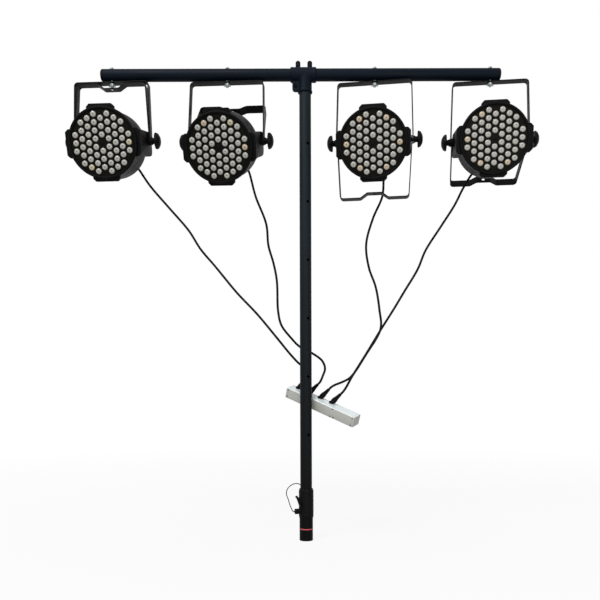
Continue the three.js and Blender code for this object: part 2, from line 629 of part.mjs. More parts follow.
function hangerBoltShape() {
  const seat = bar.radius + fit;
  const strapUnder = bar.radius + bolt.strapGap + strap.thickness + fit;
  const headShares = [[0, 1], [0.6, 0.85], [1, 0.3], [1, 0]];
  const shaft = turned([
    ...headShares.map(([out, up]) => [out * bolt.head, seat + up * bolt.headRise]), [bolt.radius, seat],
    [bolt.radius, -strapUnder - wingNut.boltEnd], [0, -strapUnder - wingNut.boltEnd],
  ], round.coarse);
  const washer = cut(
    block(
      -saddle.width / 2, saddle.width / 2, -saddle.depth / 2, saddle.depth / 2,
      -bar.radius - bolt.strapGap + fit, -bar.radius + saddle.wrap,
    ),
    alongX(rod(bar.radius + fit, -saddle.width, saddle.width, round.barrel)),
  );
  const hub = rod(wingNut.hub, -strapUnder - wingNut.hubDepth, -strapUnder, round.coarse);
  const half = wingNut.span / 2;
  const low = -strapUnder - wingNut.wingDrop;
  const wings = upright([
    [-wingNut.hub / 2, -strapUnder - wingNut.hubDepth / 4], [-half, low + wingNut.wing], [-half, low],
    [-half + wingNut.wing, low], [0, -strapUnder - wingNut.hubDepth], [half - wingNut.wing, low], [half, low],
    [half, low + wingNut.wing], [wingNut.hub / 2, -strapUnder - wingNut.hubDepth / 4],
  ], wingNut.wing);
  return join(shaft, washer, hub, wings);
}

function glandShape() {
  const seat = barrel.rear + fit;
  const body = seat + gland.flangeDepth;
  const taper = body + gland.bodyDepth;
  const end = taper + glandTip.depth;
  const profile = [
    [0, seat], [gland.flange, seat], [gland.flange, body], [gland.body, body], [gland.body, taper],
    [glandTip.radius, end], [0, end],
  ];
  return alongBeam(turned(profile, round.coarse)).translate(gland.side, 0, -gland.drop);
}

const glandEnd = barrel.rear + fit + gland.flangeDepth + gland.bodyDepth + glandTip.depth;

// Adds a lamp and gives back the group that its head is in.
function addLamp(lamp) {
  const shapes = lampShapes;
  const hanger = new THREE.Group();
  hanger.position.set(boltPlace(lamp), 0, bar.height);
  hanger.rotation.y = lamp.roll * degree;
  root.add(hanger);
  const pan = new THREE.Group();
  pan.rotation.z = lamp.yaw * degree;
  pan.position.z = pivotHeight - bar.height;
  hanger.add(pan);
  const head = new THREE.Group();
  head.rotation.x = lamp.pitch * degree;
  const swing = new THREE.Group();
  swing.rotation.x = -lamp.swing * degree;
  pan.add(head, swing);
  add(hanger, lamp.name + "_hanger_bolt", shapes.hangerBolt, "zinc");
  add(pan, lamp.name + "_hanging_yoke", shapes.hangingYoke, "blackSteel");
  add(swing, lamp.name + "_floor_yoke", shapes.floorYoke, "blackSteel");
  add(head, lamp.name + "_housing", shapes.housing, "blackShell");
  add(head, lamp.name + "_bezel", shapes.bezel, "blackShell");
  add(head, lamp.name + "_lens_plate", shapes.lensPlate, "lensPlate");
  add(head, lamp.name + "_gland", shapes.gland, "blackPlastic");
  add(head, lamp.name + "_knob_left", shapes.sideKnob, "blackPlastic").rotation.z = Math.PI;
  add(head, lamp.name + "_knob_right", shapes.sideKnob, "blackPlastic");
  return head;
}

// Power strip, plugs and cords

// The strip's frame: its middle, behind the pole, with its near top edge just clear of it.
function stripGroup() {
  const group = new THREE.Group();
  group.rotation.set(stripTurn.lean, stripTurn.roll, stripTurn.yaw, "ZYX");
  group.position.set(stripPlace.along, 0, stripPlace.up);
  group.updateMatrix();
  const edge = new THREE.Vector3(0, -strip.depth / 2, strip.height / 2).applyMatrix4(group.matrix);
  const along = new THREE.Vector3(1, 0, 0).applyEuler(group.rotation);
  const clear = pole.radius + stripPlace.gap;
  group.position.y = (clear * Math.hypot(along.x, along.y) + along.y * edge.x) / along.x - edge.y;
  return group;
}

function plugPlace(number) {
  return [socket.first + number * socket.pitch, socket.side, strip.height / 2];
}

function powerStrip(group) {
  const half = { length: strip.length / 2, height: strip.height / 2, depth: strip.depth / 2 };
  const outline = [[-1, -1], [1, -1], [1, 1], [-1, 1]].flatMap(([x, z], i) => {
    const corner = [x * half.depth, z * half.height];
    const turnedIn = [
      [x * (half.depth - strip.edge), corner[1]], [corner[0], z * (half.height - strip.edge)],
    ];
    return i % 2 ? turnedIn : turnedIn.reverse();
  });
  const body = upright(outline, strip.length).rotateZ(Math.PI / 2);
  const pinHoles = lamps.map((lamp) => {
    const [x, y, z] = plugPlace(lamp.plug);
    return bore(socket.pin + fit, z - socket.pinDepth - fit, z + overrun).translate(x, y, 0);
  });
  const inletHole = block(
    -half.length - overrun, -half.length + inlet.depth, -inlet.width / 2, inlet.width / 2,
    -inlet.height / 2, inlet.height / 2,
  );
  add(group, "power_strip", cut(body, ...pinHoles, inletHole), "aluminium");
}

function plugShape() {
  const sunk = plug.radius;
  const profile = [
    [0, -sunk], [plug.radius, -sunk], [plug.radius, plug.baseDepth],
    [plug.tip, plug.length], [0, plug.length],
  ];
  const body = turned(profile, round.coarse).rotateY(plug.lean);
  const reach = plug.radius + plug.length;
  const below = block(-reach, reach, -reach, reach, -reach, fit);
  const pin = rod(socket.pin, -socket.pinDepth, plug.baseDepth, round.coarse);
  return join(cut(body, below), rod(plug.base, fit, plug.baseDepth, round.coarse), pin);
}

function lampCord(lamp, head, group, route) {
  head.updateWorldMatrix(true, false);
  group.updateWorldMatrix(true, false);
  const fromGland = (reach) =>
    new THREE.Vector3(gland.side, glandEnd + reach, -gland.drop).applyMatrix4(head.matrixWorld);
  const fromPlug = (reach) => {
    const [x, y, z] = plugPlace(lamp.plug);
    const out = plug.length + reach;
    const place = new THREE.Vector3(x + Math.sin(plug.lean) * out, y, z + Math.cos(plug.lean) * out);
    return place.applyMatrix4(group.matrixWorld);
  };
  const points = [
    fromGland(fit), fromGland(cord.straight), ...route.map((point) => new THREE.Vector3(...point)),
    fromPlug(cord.straight), fromPlug(fit),
  ];
  add(root, lamp.name + "_cord", wire(points, cord.radius, cord.step), "rubber");
}

const lampShapes = {
  hangerBolt: hangerBoltShape(),
  hangingYoke: hangingYokeShape(),
  floorYoke: floorYokeShape(),
  housing: housingShape(),
  bezel: bezelShape(),
  lensPlate: lensPlateShape(),
  gland: glandShape(),
  sideKnob: sideKnobShape(),
};

crossbar();
barEndCap("crossbar_cap_left", barStart, -1);
barEndCap("crossbar_cap_right", barEnd, 1);
teeCasting();
teeScrews();
poleTube();
lowerPieces();
clampCollar();
wingKnob();
lockingPin();
pinLanyard();
const stripFrame = stripGroup();
root.add(stripFrame);
powerStrip(stripFrame);
lamps.forEach((lamp, i) => {
  const head = addLamp(lamp);
  const lampPlug = add(stripFrame, lamp.name + "_plug", plugShape(), "rubber");
  lampPlug.position.set(...plugPlace(lamp.plug));
  lampCord(lamp, head, stripFrame, cordRoutes[i]);
});

export default root;
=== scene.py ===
# The looks of a lighting T-bar stand with four round LED lamps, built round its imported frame.
# Sizes are in millimetres and angles in degrees; a piece becomes metres when it is made.
import json
import math

import bmesh
import bpy
from mathutils import Matrix, Vector
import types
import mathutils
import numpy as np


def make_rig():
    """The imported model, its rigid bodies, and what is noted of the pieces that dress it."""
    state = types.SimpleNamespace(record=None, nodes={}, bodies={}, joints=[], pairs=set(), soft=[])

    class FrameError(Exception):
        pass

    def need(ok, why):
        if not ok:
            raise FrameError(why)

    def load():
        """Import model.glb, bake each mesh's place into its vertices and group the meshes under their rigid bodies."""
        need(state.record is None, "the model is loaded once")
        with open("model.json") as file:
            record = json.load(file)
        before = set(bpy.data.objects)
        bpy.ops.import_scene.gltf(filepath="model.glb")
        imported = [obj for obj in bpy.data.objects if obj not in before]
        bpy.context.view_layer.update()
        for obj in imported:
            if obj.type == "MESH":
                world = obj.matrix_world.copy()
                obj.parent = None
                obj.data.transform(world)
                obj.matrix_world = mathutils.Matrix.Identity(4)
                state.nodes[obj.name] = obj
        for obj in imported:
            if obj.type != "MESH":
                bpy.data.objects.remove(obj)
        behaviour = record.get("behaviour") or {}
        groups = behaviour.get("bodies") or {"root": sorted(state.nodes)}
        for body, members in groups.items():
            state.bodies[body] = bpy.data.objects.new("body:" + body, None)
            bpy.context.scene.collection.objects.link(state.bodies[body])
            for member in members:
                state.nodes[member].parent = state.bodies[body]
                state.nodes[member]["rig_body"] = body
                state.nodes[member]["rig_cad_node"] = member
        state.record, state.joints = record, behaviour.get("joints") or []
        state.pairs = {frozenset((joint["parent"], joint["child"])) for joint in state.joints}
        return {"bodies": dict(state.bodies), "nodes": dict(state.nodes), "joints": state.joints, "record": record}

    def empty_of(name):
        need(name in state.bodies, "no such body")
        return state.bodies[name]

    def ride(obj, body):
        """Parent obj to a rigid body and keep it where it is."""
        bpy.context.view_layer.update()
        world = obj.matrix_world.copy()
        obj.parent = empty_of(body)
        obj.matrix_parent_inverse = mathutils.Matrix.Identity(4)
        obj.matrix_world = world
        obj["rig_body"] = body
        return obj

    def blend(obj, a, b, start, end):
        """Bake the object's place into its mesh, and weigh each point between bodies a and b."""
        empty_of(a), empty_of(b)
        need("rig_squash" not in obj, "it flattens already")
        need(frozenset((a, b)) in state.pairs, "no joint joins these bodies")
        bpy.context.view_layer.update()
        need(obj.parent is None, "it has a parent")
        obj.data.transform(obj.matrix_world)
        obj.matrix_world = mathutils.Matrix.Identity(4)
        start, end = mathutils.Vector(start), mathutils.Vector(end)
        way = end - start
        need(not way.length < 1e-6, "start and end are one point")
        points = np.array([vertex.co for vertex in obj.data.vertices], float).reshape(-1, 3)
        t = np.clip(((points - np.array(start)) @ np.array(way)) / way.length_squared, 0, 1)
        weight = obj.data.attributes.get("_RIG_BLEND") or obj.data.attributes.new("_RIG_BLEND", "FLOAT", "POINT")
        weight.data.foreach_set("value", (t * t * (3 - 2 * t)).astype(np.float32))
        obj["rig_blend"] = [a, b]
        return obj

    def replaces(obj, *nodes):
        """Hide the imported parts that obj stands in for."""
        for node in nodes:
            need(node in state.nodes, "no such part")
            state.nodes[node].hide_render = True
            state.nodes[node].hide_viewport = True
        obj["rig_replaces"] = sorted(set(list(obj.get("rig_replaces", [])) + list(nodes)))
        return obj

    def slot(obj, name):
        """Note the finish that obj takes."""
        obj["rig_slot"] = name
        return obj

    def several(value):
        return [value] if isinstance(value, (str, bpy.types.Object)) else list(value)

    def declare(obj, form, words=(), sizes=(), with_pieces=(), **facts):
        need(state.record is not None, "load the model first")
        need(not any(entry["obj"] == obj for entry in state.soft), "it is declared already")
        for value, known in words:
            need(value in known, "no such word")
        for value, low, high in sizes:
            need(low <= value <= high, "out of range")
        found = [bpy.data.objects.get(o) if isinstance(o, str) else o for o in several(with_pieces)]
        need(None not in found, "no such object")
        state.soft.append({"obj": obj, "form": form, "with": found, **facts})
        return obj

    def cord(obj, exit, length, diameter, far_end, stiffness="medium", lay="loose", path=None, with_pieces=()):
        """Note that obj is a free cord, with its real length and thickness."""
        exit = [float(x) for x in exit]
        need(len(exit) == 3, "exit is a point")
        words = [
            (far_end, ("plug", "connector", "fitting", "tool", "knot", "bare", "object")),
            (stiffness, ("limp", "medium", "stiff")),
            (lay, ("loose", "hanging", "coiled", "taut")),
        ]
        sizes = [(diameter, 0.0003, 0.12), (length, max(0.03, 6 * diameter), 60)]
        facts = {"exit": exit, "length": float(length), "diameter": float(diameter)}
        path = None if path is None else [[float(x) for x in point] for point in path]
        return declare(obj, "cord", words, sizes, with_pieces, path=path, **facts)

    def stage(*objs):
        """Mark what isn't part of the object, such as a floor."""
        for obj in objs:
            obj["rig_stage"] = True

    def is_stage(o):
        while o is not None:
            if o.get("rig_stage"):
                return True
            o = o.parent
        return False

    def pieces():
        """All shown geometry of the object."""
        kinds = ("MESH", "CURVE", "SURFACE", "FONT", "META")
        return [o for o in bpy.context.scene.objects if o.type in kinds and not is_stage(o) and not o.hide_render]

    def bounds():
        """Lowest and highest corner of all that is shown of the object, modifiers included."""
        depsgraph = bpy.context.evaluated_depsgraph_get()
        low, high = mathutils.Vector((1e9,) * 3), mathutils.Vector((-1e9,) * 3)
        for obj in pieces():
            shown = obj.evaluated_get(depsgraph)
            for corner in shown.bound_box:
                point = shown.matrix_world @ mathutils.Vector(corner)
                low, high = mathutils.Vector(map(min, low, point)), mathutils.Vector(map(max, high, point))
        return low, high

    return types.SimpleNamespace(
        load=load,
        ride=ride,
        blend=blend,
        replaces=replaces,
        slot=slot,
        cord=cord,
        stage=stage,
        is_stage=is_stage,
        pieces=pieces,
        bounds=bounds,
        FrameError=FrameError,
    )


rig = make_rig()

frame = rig.load()
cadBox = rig.bounds()
print("frame loaded:", len(frame["nodes"]), "nodes")

mm = 0.001
scene = bpy.context.scene


def turnBy(angle, axis):
    return Matrix.Rotation(math.radians(angle), 4, axis)


def moveBy(x, y, z):
    return Matrix.Translation((x, y, z))


here = Matrix.Identity(4)
alongX = turnBy(90, "Y")
alongBeam = turnBy(-90, "X")  # the profile's height runs back from the lamp's face
forward = turnBy(90, "X")
# An outline of (y, z), with its height along X.
sideways = Matrix(((0, 0, 1, 0), (1, 0, 0, 0), (0, 1, 0, 0), (0, 0, 0, 1)))


# Camera

view = {"lens": 41.15, "sensor": 36, "place": (-17.7, -2050, 412.8), "roll": 0.155, "shift": 0.17}


def makeCamera():
    data = bpy.data.cameras.new("camera")
    data.lens = view["lens"]
    data.sensor_width = view["sensor"]
    data.shift_y = view["shift"]
    camera = bpy.data.objects.new("camera", data)
    camera.location = Vector(view["place"]) * mm
    camera.rotation_euler = (math.radians(90), math.radians(view["roll"]), 0)
    scene.collection.objects.link(camera)
    scene.camera = camera


makeCamera()
print("camera placed")


# Finishes. Scales are in features per metre.

def setInputs(tree, node, inputs):
    for key, value in inputs.items():
        if isinstance(value, bpy.types.NodeSocket):
            tree.links.new(value, node.inputs[key])
        else:
            node.inputs[key].default_value = value


def addNode(tree, kind, inputs=None, **settings):
    node = tree.nodes.new(kind)
    for key, value in settings.items():
        setattr(node, key, value)
    setInputs(tree, node, inputs or {})
    return node


def noise(tree, where, scale, detail, stretch=(1, 1, 1)):
    spread = addNode(tree, "ShaderNodeMapping", {"Vector": where, "Scale": stretch})
    made = addNode(tree, "ShaderNodeTexNoise", {"Vector": spread.outputs[0], "Scale": scale, "Detail": detail})
    return made.outputs["Fac"]


def ramp(tree, value, low, high, start=0, end=1):
    made = addNode(tree, "ShaderNodeMapRange", {
        "Value": value, "From Min": low, "From Max": high, "To Min": start, "To Max": end,
    })
    return made.outputs["Result"]


def combine(tree, operation, first, second):
    return addNode(tree, "ShaderNodeMath", {0: first, 1: second}, operation=operation).outputs[0]


def blendColours(tree, share, *colours):
    first, second = (colour if isinstance(colour, bpy.types.NodeSocket) else (*colour, 1) for colour in colours)
    return addNode(tree, "ShaderNodeMix", {0: share, 6: first, 7: second}, data_type="RGBA").outputs[2]


def upward(tree, vector):
    return addNode(tree, "ShaderNodeSeparateXYZ", {"Vector": vector}).outputs["Z"]


def newMaterial(name):
    material = bpy.data.materials.new(name)
    material.use_nodes = True
    return material, material.node_tree


mottling = {"detail": 4.0, "colour": (0.35, 0.65), "gloss": (0.3, 0.7), "smoother": 0.06, "rougher": 0.08}
grainRelief = {"detail": 2.0, "depth": 0.0004}
wornEdge = {"edge": (0.54, 0.62), "chips": (0.5, 0.64), "scale": 260, "most": 0.6}
# Where a piece's up-facing normal blends from its own colour into its painted top light.
paintedTopLightRamp = (0.6, 0.8)


def finish(name, colour, dark, rough=0.5, grain=1500, bump=0.2, mottle=9, metal=0.0, specular=0.5, wear=None,
           stretch=(1, 1, 1), foot=None, top=None):
    material, tree = newMaterial(name)
    where = addNode(tree, "ShaderNodeTexCoord").outputs["Object"]
    patches = noise(tree, where, mottle, mottling["detail"], stretch)
    fine = noise(tree, where, grain, grainRelief["detail"], stretch)
    paint = blendColours(tree, ramp(tree, patches, *mottling["colour"]), dark, colour)
    if foot:
        # The colour blends into another towards the foot: (colour, height of it, height where it is gone).
        paint = blendColours(tree, ramp(tree, upward(tree, where), foot[1], foot[2]), foot[0], paint)
    if top:
        # Painted light: the face that the piece turns up, in its own axes, is painted in a lighter colour, as a
        # painted highlight from light falling from above.
        facing = addNode(tree, "ShaderNodeTexCoord").outputs["Normal"]
        paint = blendColours(tree, ramp(tree, upward(tree, facing), *paintedTopLightRamp), paint, top)
    if wear:
        edge = addNode(tree, "ShaderNodeNewGeometry").outputs["Pointiness"]
        chips = noise(tree, where, wornEdge["scale"], mottling["detail"])
        worn = combine(tree, "MULTIPLY", ramp(tree, edge, *wornEdge["edge"]),
                       ramp(tree, chips, *wornEdge["chips"], 0, wornEdge["most"]))
        paint = blendColours(tree, worn, paint, wear)
    gloss = ramp(tree, patches, *mottling["gloss"], rough - mottling["smoother"], rough + mottling["rougher"])
    relief = addNode(tree, "ShaderNodeBump", {"Height": fine, "Strength": bump, "Distance": grainRelief["depth"]})
    setInputs(tree, tree.nodes["Principled BSDF"], {
        "Base Color": paint, "Roughness": gloss, "Normal": relief.outputs[0], "Metallic": metal,
        "Specular IOR Level": specular,
    })
    return material


# The dark colour lies in patches between the other; wear shows on the edges.
finishRows = {
    "powderCoat": dict(colour=(0.0032, 0.0064, 0.0118), dark=(0.002, 0.0046, 0.009), specular=0.06,
                       wear=(0.03, 0.034, 0.042)),
    # The pole turns darker towards its foot.
    "poleCoat": dict(colour=(0.0108, 0.0152, 0.019), dark=(0.0084, 0.0122, 0.0156), specular=0.06,
                     wear=(0.03, 0.034, 0.038), foot=((0.0046, 0.0046, 0.0048), 0.15, 0.95)),
    "tubeCoat": dict(colour=(0.0026, 0.0026, 0.0028), dark=(0.0018, 0.0018, 0.002), specular=0.06,
                     wear=(0.03, 0.032, 0.036)),
    "strapSteel": dict(colour=(0.0034, 0.0034, 0.0036), dark=(0.0022, 0.0022, 0.0024), rough=0.45, grain=1300,
                       specular=0.06, wear=(0.03, 0.03, 0.03)),
    "castShell": dict(colour=(0.0034, 0.0034, 0.0033), dark=(0.0021, 0.0021, 0.0022), grain=900, bump=0.3,
                      specular=0.05, wear=(0.025, 0.025, 0.025)),
    "facePlate": dict(colour=(0.0042, 0.0036, 0.0024), dark=(0.0026, 0.0022, 0.0015), grain=1100, specular=0.05),
    "moulded": dict(colour=(0.0036, 0.0036, 0.0038), dark=(0.0024, 0.0024, 0.0027), grain=1700, bump=0.25,
                    specular=0.07),
    "rubber": dict(colour=(0.0065, 0.0065, 0.0068), dark=(0.0045, 0.0045, 0.0048), rough=0.6, grain=600, bump=0.1,
                   specular=0.06),
    "zinc": dict(colour=(0.4, 0.435, 0.415), dark=(0.26, 0.3, 0.28), rough=0.35, grain=700, bump=0.25, mottle=90,
                 metal=0.7),
    # The strip's lighter top colour is painted light: a painted highlight where its top faces the light above.
    "anodised": dict(colour=(0.5, 0.5, 0.465), dark=(0.435, 0.435, 0.4), rough=0.45, grain=600, bump=0.12,
                     mottle=14, metal=0.2, stretch=(0.15, 1, 1), top=(0.74, 0.8, 0.82)),
    "redTape": dict(colour=(0.5, 0.075, 0.08), dark=(0.4, 0.045, 0.05), rough=0.4, grain=800, mottle=60),
    "brass": dict(colour=(0.55, 0.4, 0.16), dark=(0.42, 0.3, 0.12), rough=0.3, grain=700, bump=0.1, mottle=120,
                  metal=1.0),
}

# A lens is darkest at its chip and pale over its ring, and painted darker towards its edge as painted shade where its
# dome turns away: (how far out, share of its pale colour).
lensStops = [(0.0, 0.42), (0.13, 0.34), (0.27, 0.78), (0.5, 1.0), (0.8, 0.92), (0.93, 0.36)]
lensPales = {"clear": (0.385, 0.38, 0.34), "amber": (0.47, 0.385, 0.275), "straw": (0.45, 0.412, 0.275)}
lensGloss = {"cells": 700.0, "bump": 0.25, "depth": 0.0003, "rough": (0.2, 0.4), "coat": 0.35, "specular": 0.4}


def lensFinish(name, pale):
    material, tree = newMaterial(name)
    # The lens mesh carries how far each point is from its centre.
    out = addNode(tree, "ShaderNodeAttribute", attribute_name="fromCentre").outputs["Fac"]
    colours = addNode(tree, "ShaderNodeValToRGB", {"Fac": out})
    while len(colours.color_ramp.elements) < len(lensStops):
        colours.color_ramp.elements.new(0.5)
    for element, (position, share) in zip(colours.color_ramp.elements, lensStops):
        element.position = position
        element.color = (*[part * share for part in pale], 1)
    where = addNode(tree, "ShaderNodeTexCoord").outputs["Object"]
    cells = addNode(tree, "ShaderNodeTexVoronoi", {"Vector": where, "Scale": lensGloss["cells"]})
    relief = addNode(tree, "ShaderNodeBump", {
        "Height": cells.outputs["Distance"], "Strength": lensGloss["bump"], "Distance": lensGloss["depth"],
    })
    setInputs(tree, tree.nodes["Principled BSDF"], {
        "Base Color": colours.outputs[0], "Roughness": ramp(tree, out, 0, 1, *lensGloss["rough"]),
        "Normal": relief.outputs[0], "Coat Weight": lensGloss["coat"], "Specular IOR Level": lensGloss["specular"],
    })
    return material


finishes = {name: finish(name, **row) for name, row in finishRows.items()}
finishes.update({name: lensFinish(name + "Lens", pale) for name, pale in lensPales.items()})
print("finishes made")


# Shapes

def rounded(corners, closed=False, steps=4):
    # A corner's third number is the radius that rounds it.
    points = []
    for i, corner in enumerate(corners):
        spot = Vector(corner[:2])
        if len(corner) < 3 or (not closed and i in (0, len(corners) - 1)):
            points.append(tuple(spot))
            continue
        back = Vector(corners[i - 1][:2]) - spot
        ahead = Vector(corners[(i + 1) % len(corners)][:2]) - spot
        half = back.angle(ahead) / 2
        reach = min(corner[2] / math.tan(half), 0.49 * back.length, 0.49 * ahead.length)
        centre = spot + (back.normalized() + ahead.normalized()).normalized() * (reach / math.cos(half))
        first = spot + back.normalized() * reach - centre
        last = spot + ahead.normalized() * reach - centre
        start = math.atan2(first.y, first.x)
        sweep = (math.atan2(last.y, last.x) - start + math.pi) % (2 * math.pi) - math.pi
        for step in range(steps + 1):
            angle = start + sweep * step / steps
            points.append((centre.x + first.length * math.cos(angle), centre.y + first.length * math.sin(angle)))
    return points


def roundedBox(left, low, right, high, radius, steps=4):
    return rounded([(left, low, radius), (right, low, radius), (right, high, radius), (left, high, radius)],
                   True, steps)


def skin(bm, rings, slot=0, capped=True, looped=False):
    # Joins rings of points into one surface; a ring of one point is a tip.
    made = [[bm.verts.new(point) for point in ring] for ring in rings]
    pairs = list(zip(made, made[1:])) + ([(made[-1], made[0])] if looped else [])
    for low, high in pairs:
        count = max(len(low), len(high))
        for i in range(count):
            j = (i + 1) % count
            corners = [low[i % len(low)], low[j % len(low)], high[j % len(high)], high[i % len(high)]]
            unique = list(dict.fromkeys(corners))
            if len(unique) > 2:
                bm.faces.new(unique).material_index = slot
    if capped and not looped:
        for ring in (made[0], made[-1]):
            if len(ring) > 2:
                bm.faces.new(ring).material_index = slot


def lathe(bm, corners, at=here, sides=64, slot=0, lobes=None, closed=False, steps=4):
    # Turns a profile of (radius, height) about Z. Lobes are (count, depth, from radius).
    profile = rounded(corners, closed, steps)
    onAxis = profile[0][0] == 0 and profile[-1][0] == 0
    rings = []
    for radius, height in profile:
        if radius < 1e-6:
            rings.append([at @ Vector((0, 0, height))])
            continue
        ring = []
        for i in range(sides):
            angle = 2 * math.pi * i / sides
            reach = radius
            if lobes and radius > lobes[2]:
                share = (radius - lobes[2]) / (max(p[0] for p in profile) - lobes[2])
                reach -= lobes[1] * share * (0.5 + 0.5 * math.cos(lobes[0] * angle))
            ring.append(at @ Vector((reach * math.cos(angle), reach * math.sin(angle), height)))
        rings.append(ring)
    skin(bm, rings, slot, capped=False, looped=not onAxis)


def rod(bm, radius, low, high, at=here, sides=24):
    lathe(bm, [(0, low), (radius, low), (radius, high), (0, high)], at, sides)


def tube(bm, inner, outer, low, high, edges, at=here):
    corners = [(inner, low), (outer, low, edges[0]), (outer, high, edges[1]), (inner, high)]
    lathe(bm, corners, at, 96, closed=True)


def inset(outline, distance):
    # Moves a closed outline's points in, or out where the distance is negative.
    area = sum(a[0] * b[1] - b[0] * a[1] for a, b in zip(outline, outline[1:] + outline[:1]))
    side = 1 if area > 0 else -1
    moved = []
    for i, point in enumerate(outline):
        before = (Vector(point) - Vector(outline[i - 1])).normalized()
        after = (Vector(outline[(i + 1) % len(outline)]) - Vector(point)).normalized()
        normal = Vector((-before.y - after.y, before.x + after.x)).normalized() * side
        share = max(0.35, normal.dot(Vector((-before.y, before.x)) * side))
        moved.append(tuple(Vector(point) + normal * distance / share))
    return moved


def prism(bm, outline, low, high, at, edge):
    # A plate with a closed outline of (x, y), from one height to another, with rounded rims.
    turns = [math.pi / 2 * step / 3 for step in range(4)]
    rings = []
    for height, direction, angles in ((low, 1, turns), (high, -1, turns[::-1])):
        for angle in angles:
            ring = inset(outline, edge * (1 - math.sin(angle)))
            level = height + direction * edge * (1 - math.cos(angle))
            rings.append([at @ Vector((x, y, level)) for x, y in ring])
    skin(bm, rings)


def sweep(bm, points, radius, sides=16):
    # A round rod through the points.
    side = (points[1] - points[0]).normalized().orthogonal().normalized()
    turns = [2 * math.pi * step / sides for step in range(sides)]
    rings = []
    for i, point in enumerate(points):
        along = (points[min(i + 1, len(points) - 1)] - points[max(i - 1, 0)]).normalized()
        side = (side - along * side.dot(along)).normalized()
        other = along.cross(side)
        rings.append([point + (side * math.cos(turn) + other * math.sin(turn)) * radius for turn in turns])
    skin(bm, rings)


def distances(points):
    # How far along a line each of its points is.
    lengths = [0.0]
    for a, b in zip(points, points[1:]):
        lengths.append(lengths[-1] + (b - a).length)
    return lengths


def ribbon(bm, corners, width, thickness, edge=0.5):
    # A flat bar bent along an open line of (x, z), with rounded edges and round ends.
    tip, closest = 0.15, 0.05
    line = [Vector(point) for point in rounded(corners, steps=8)]
    half, thick = width / 2, thickness / 2
    lengths = distances(line)
    total = lengths[-1]
    ends = [half * (1 - math.cos(math.pi / 2 * i / 8)) for i in range(1, 9)]
    stations = sorted({*lengths, *ends, *(total - end for end in ends)})
    kept = [stations[0] + tip]
    for station in stations[1:-1]:
        if station - kept[-1] > closest:
            kept.append(station)
    kept[-1] = min(kept[-1], total - tip)
    rings = []
    for station in kept:
        k = max(i for i in range(len(lengths)) if lengths[i] <= station + 1e-6)
        k = min(k, len(line) - 2)
        along = (line[k + 1] - line[k]).normalized()
        spot = line[k] + along * (station - lengths[k])
        if abs(station - lengths[k]) < 1e-4 and k > 0:
            before = (line[k] - line[k - 1]).normalized()
            along = (before + along).normalized()
        across = Vector((-along.y, along.x))
        reach = min(station, total - station, half)
        wide = math.sqrt(max(0.01, half ** 2 - (half - reach) ** 2))
        trim = min(edge, wide * 0.4)
        section = [(thick, wide - trim), (thick, trim - wide), (thick - edge, -wide), (edge - thick, -wide),
                   (-thick, trim - wide), (-thick, wide - trim), (edge - thick, wide), (thick - edge, wide)]
        rings.append([Vector((spot.x + across.x * out, side, spot.y + across.y * out)) for out, side in section])
    skin(bm, rings)


def makeMesh(name, bm, materials, sharp=35):
    bmesh.ops.transform(bm, matrix=Matrix.Scale(mm, 4), verts=bm.verts)
    bmesh.ops.recalc_face_normals(bm, faces=bm.faces)
    mesh = bpy.data.meshes.new(name)
    bm.to_mesh(mesh)
    bm.free()
    for material in materials:
        mesh.materials.append(finishes[material])
    mesh.shade_smooth()
    mesh.set_sharp_from_angle(angle=math.radians(sharp))
    return mesh


def place(name, mesh, at=here):
    piece = bpy.data.objects.new(name, mesh)
    scene.collection.objects.link(piece)
    piece.matrix_world = Matrix.Translation(at.translation * mm) @ at.to_3x3().to_4x4()
    return piece


def dress(piece, body, slot, *nodes):
    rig.ride(piece, body)
    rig.slot(piece, slot)
    if nodes:
        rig.replaces(piece, *nodes)
    return piece


def addPiece(name, bm, material, body, slot, *nodes):
    dress(place(name, makeMesh(name, bm, [material])), body, slot, *nodes)


def settled(body, name):
    # The mesh that an object's modifiers make. The object itself goes.
    made = bpy.data.meshes.new_from_object(body.evaluated_get(bpy.context.evaluated_depsgraph_get()))
    bpy.data.objects.remove(body)
    made.name = name
    made.shade_smooth()
    return made


def carve(mesh, cutters, sharp=35, overlapping=False):
    # Cuts the bmesh from a mesh that isn't used yet; either may be made of shells that overlap.
    cutter = place("cutter", makeMesh("cutter", cutters, []))
    body = place("carved", mesh)
    modifier = body.modifiers.new("cut", "BOOLEAN")
    modifier.object = cutter
    modifier.solver = "EXACT"
    modifier.use_self = overlapping
    made = settled(body, mesh.name)
    bpy.data.objects.remove(cutter)
    made.set_sharp_from_angle(angle=math.radians(sharp))
    return made


def fused(mesh, voxel, rounds):
    # Melts the overlapping shells of a casting into one skin with soft joins.
    body = place("fused", mesh)
    remesh = body.modifiers.new("remesh", "REMESH")
    remesh.mode = "VOXEL"
    remesh.voxel_size = voxel * mm
    soften = body.modifiers.new("soften", "SMOOTH")
    soften.iterations = rounds
    return settled(body, mesh.name)


def screwHead(bm, at, radius, rise, slot=0, sides=20):
    # A domed head with a cross recess, seated on the plane z = 0 of its place.
    lathe(bm, [(0, -rise / 2), (radius, -rise / 2), (radius, rise * 0.4, rise * 0.3), (radius * 0.6, rise),
               (radius * 0.25, rise), (radius * 0.15, rise * 0.35), (0, rise * 0.35)], at, sides, slot)


# Places, as in the frame

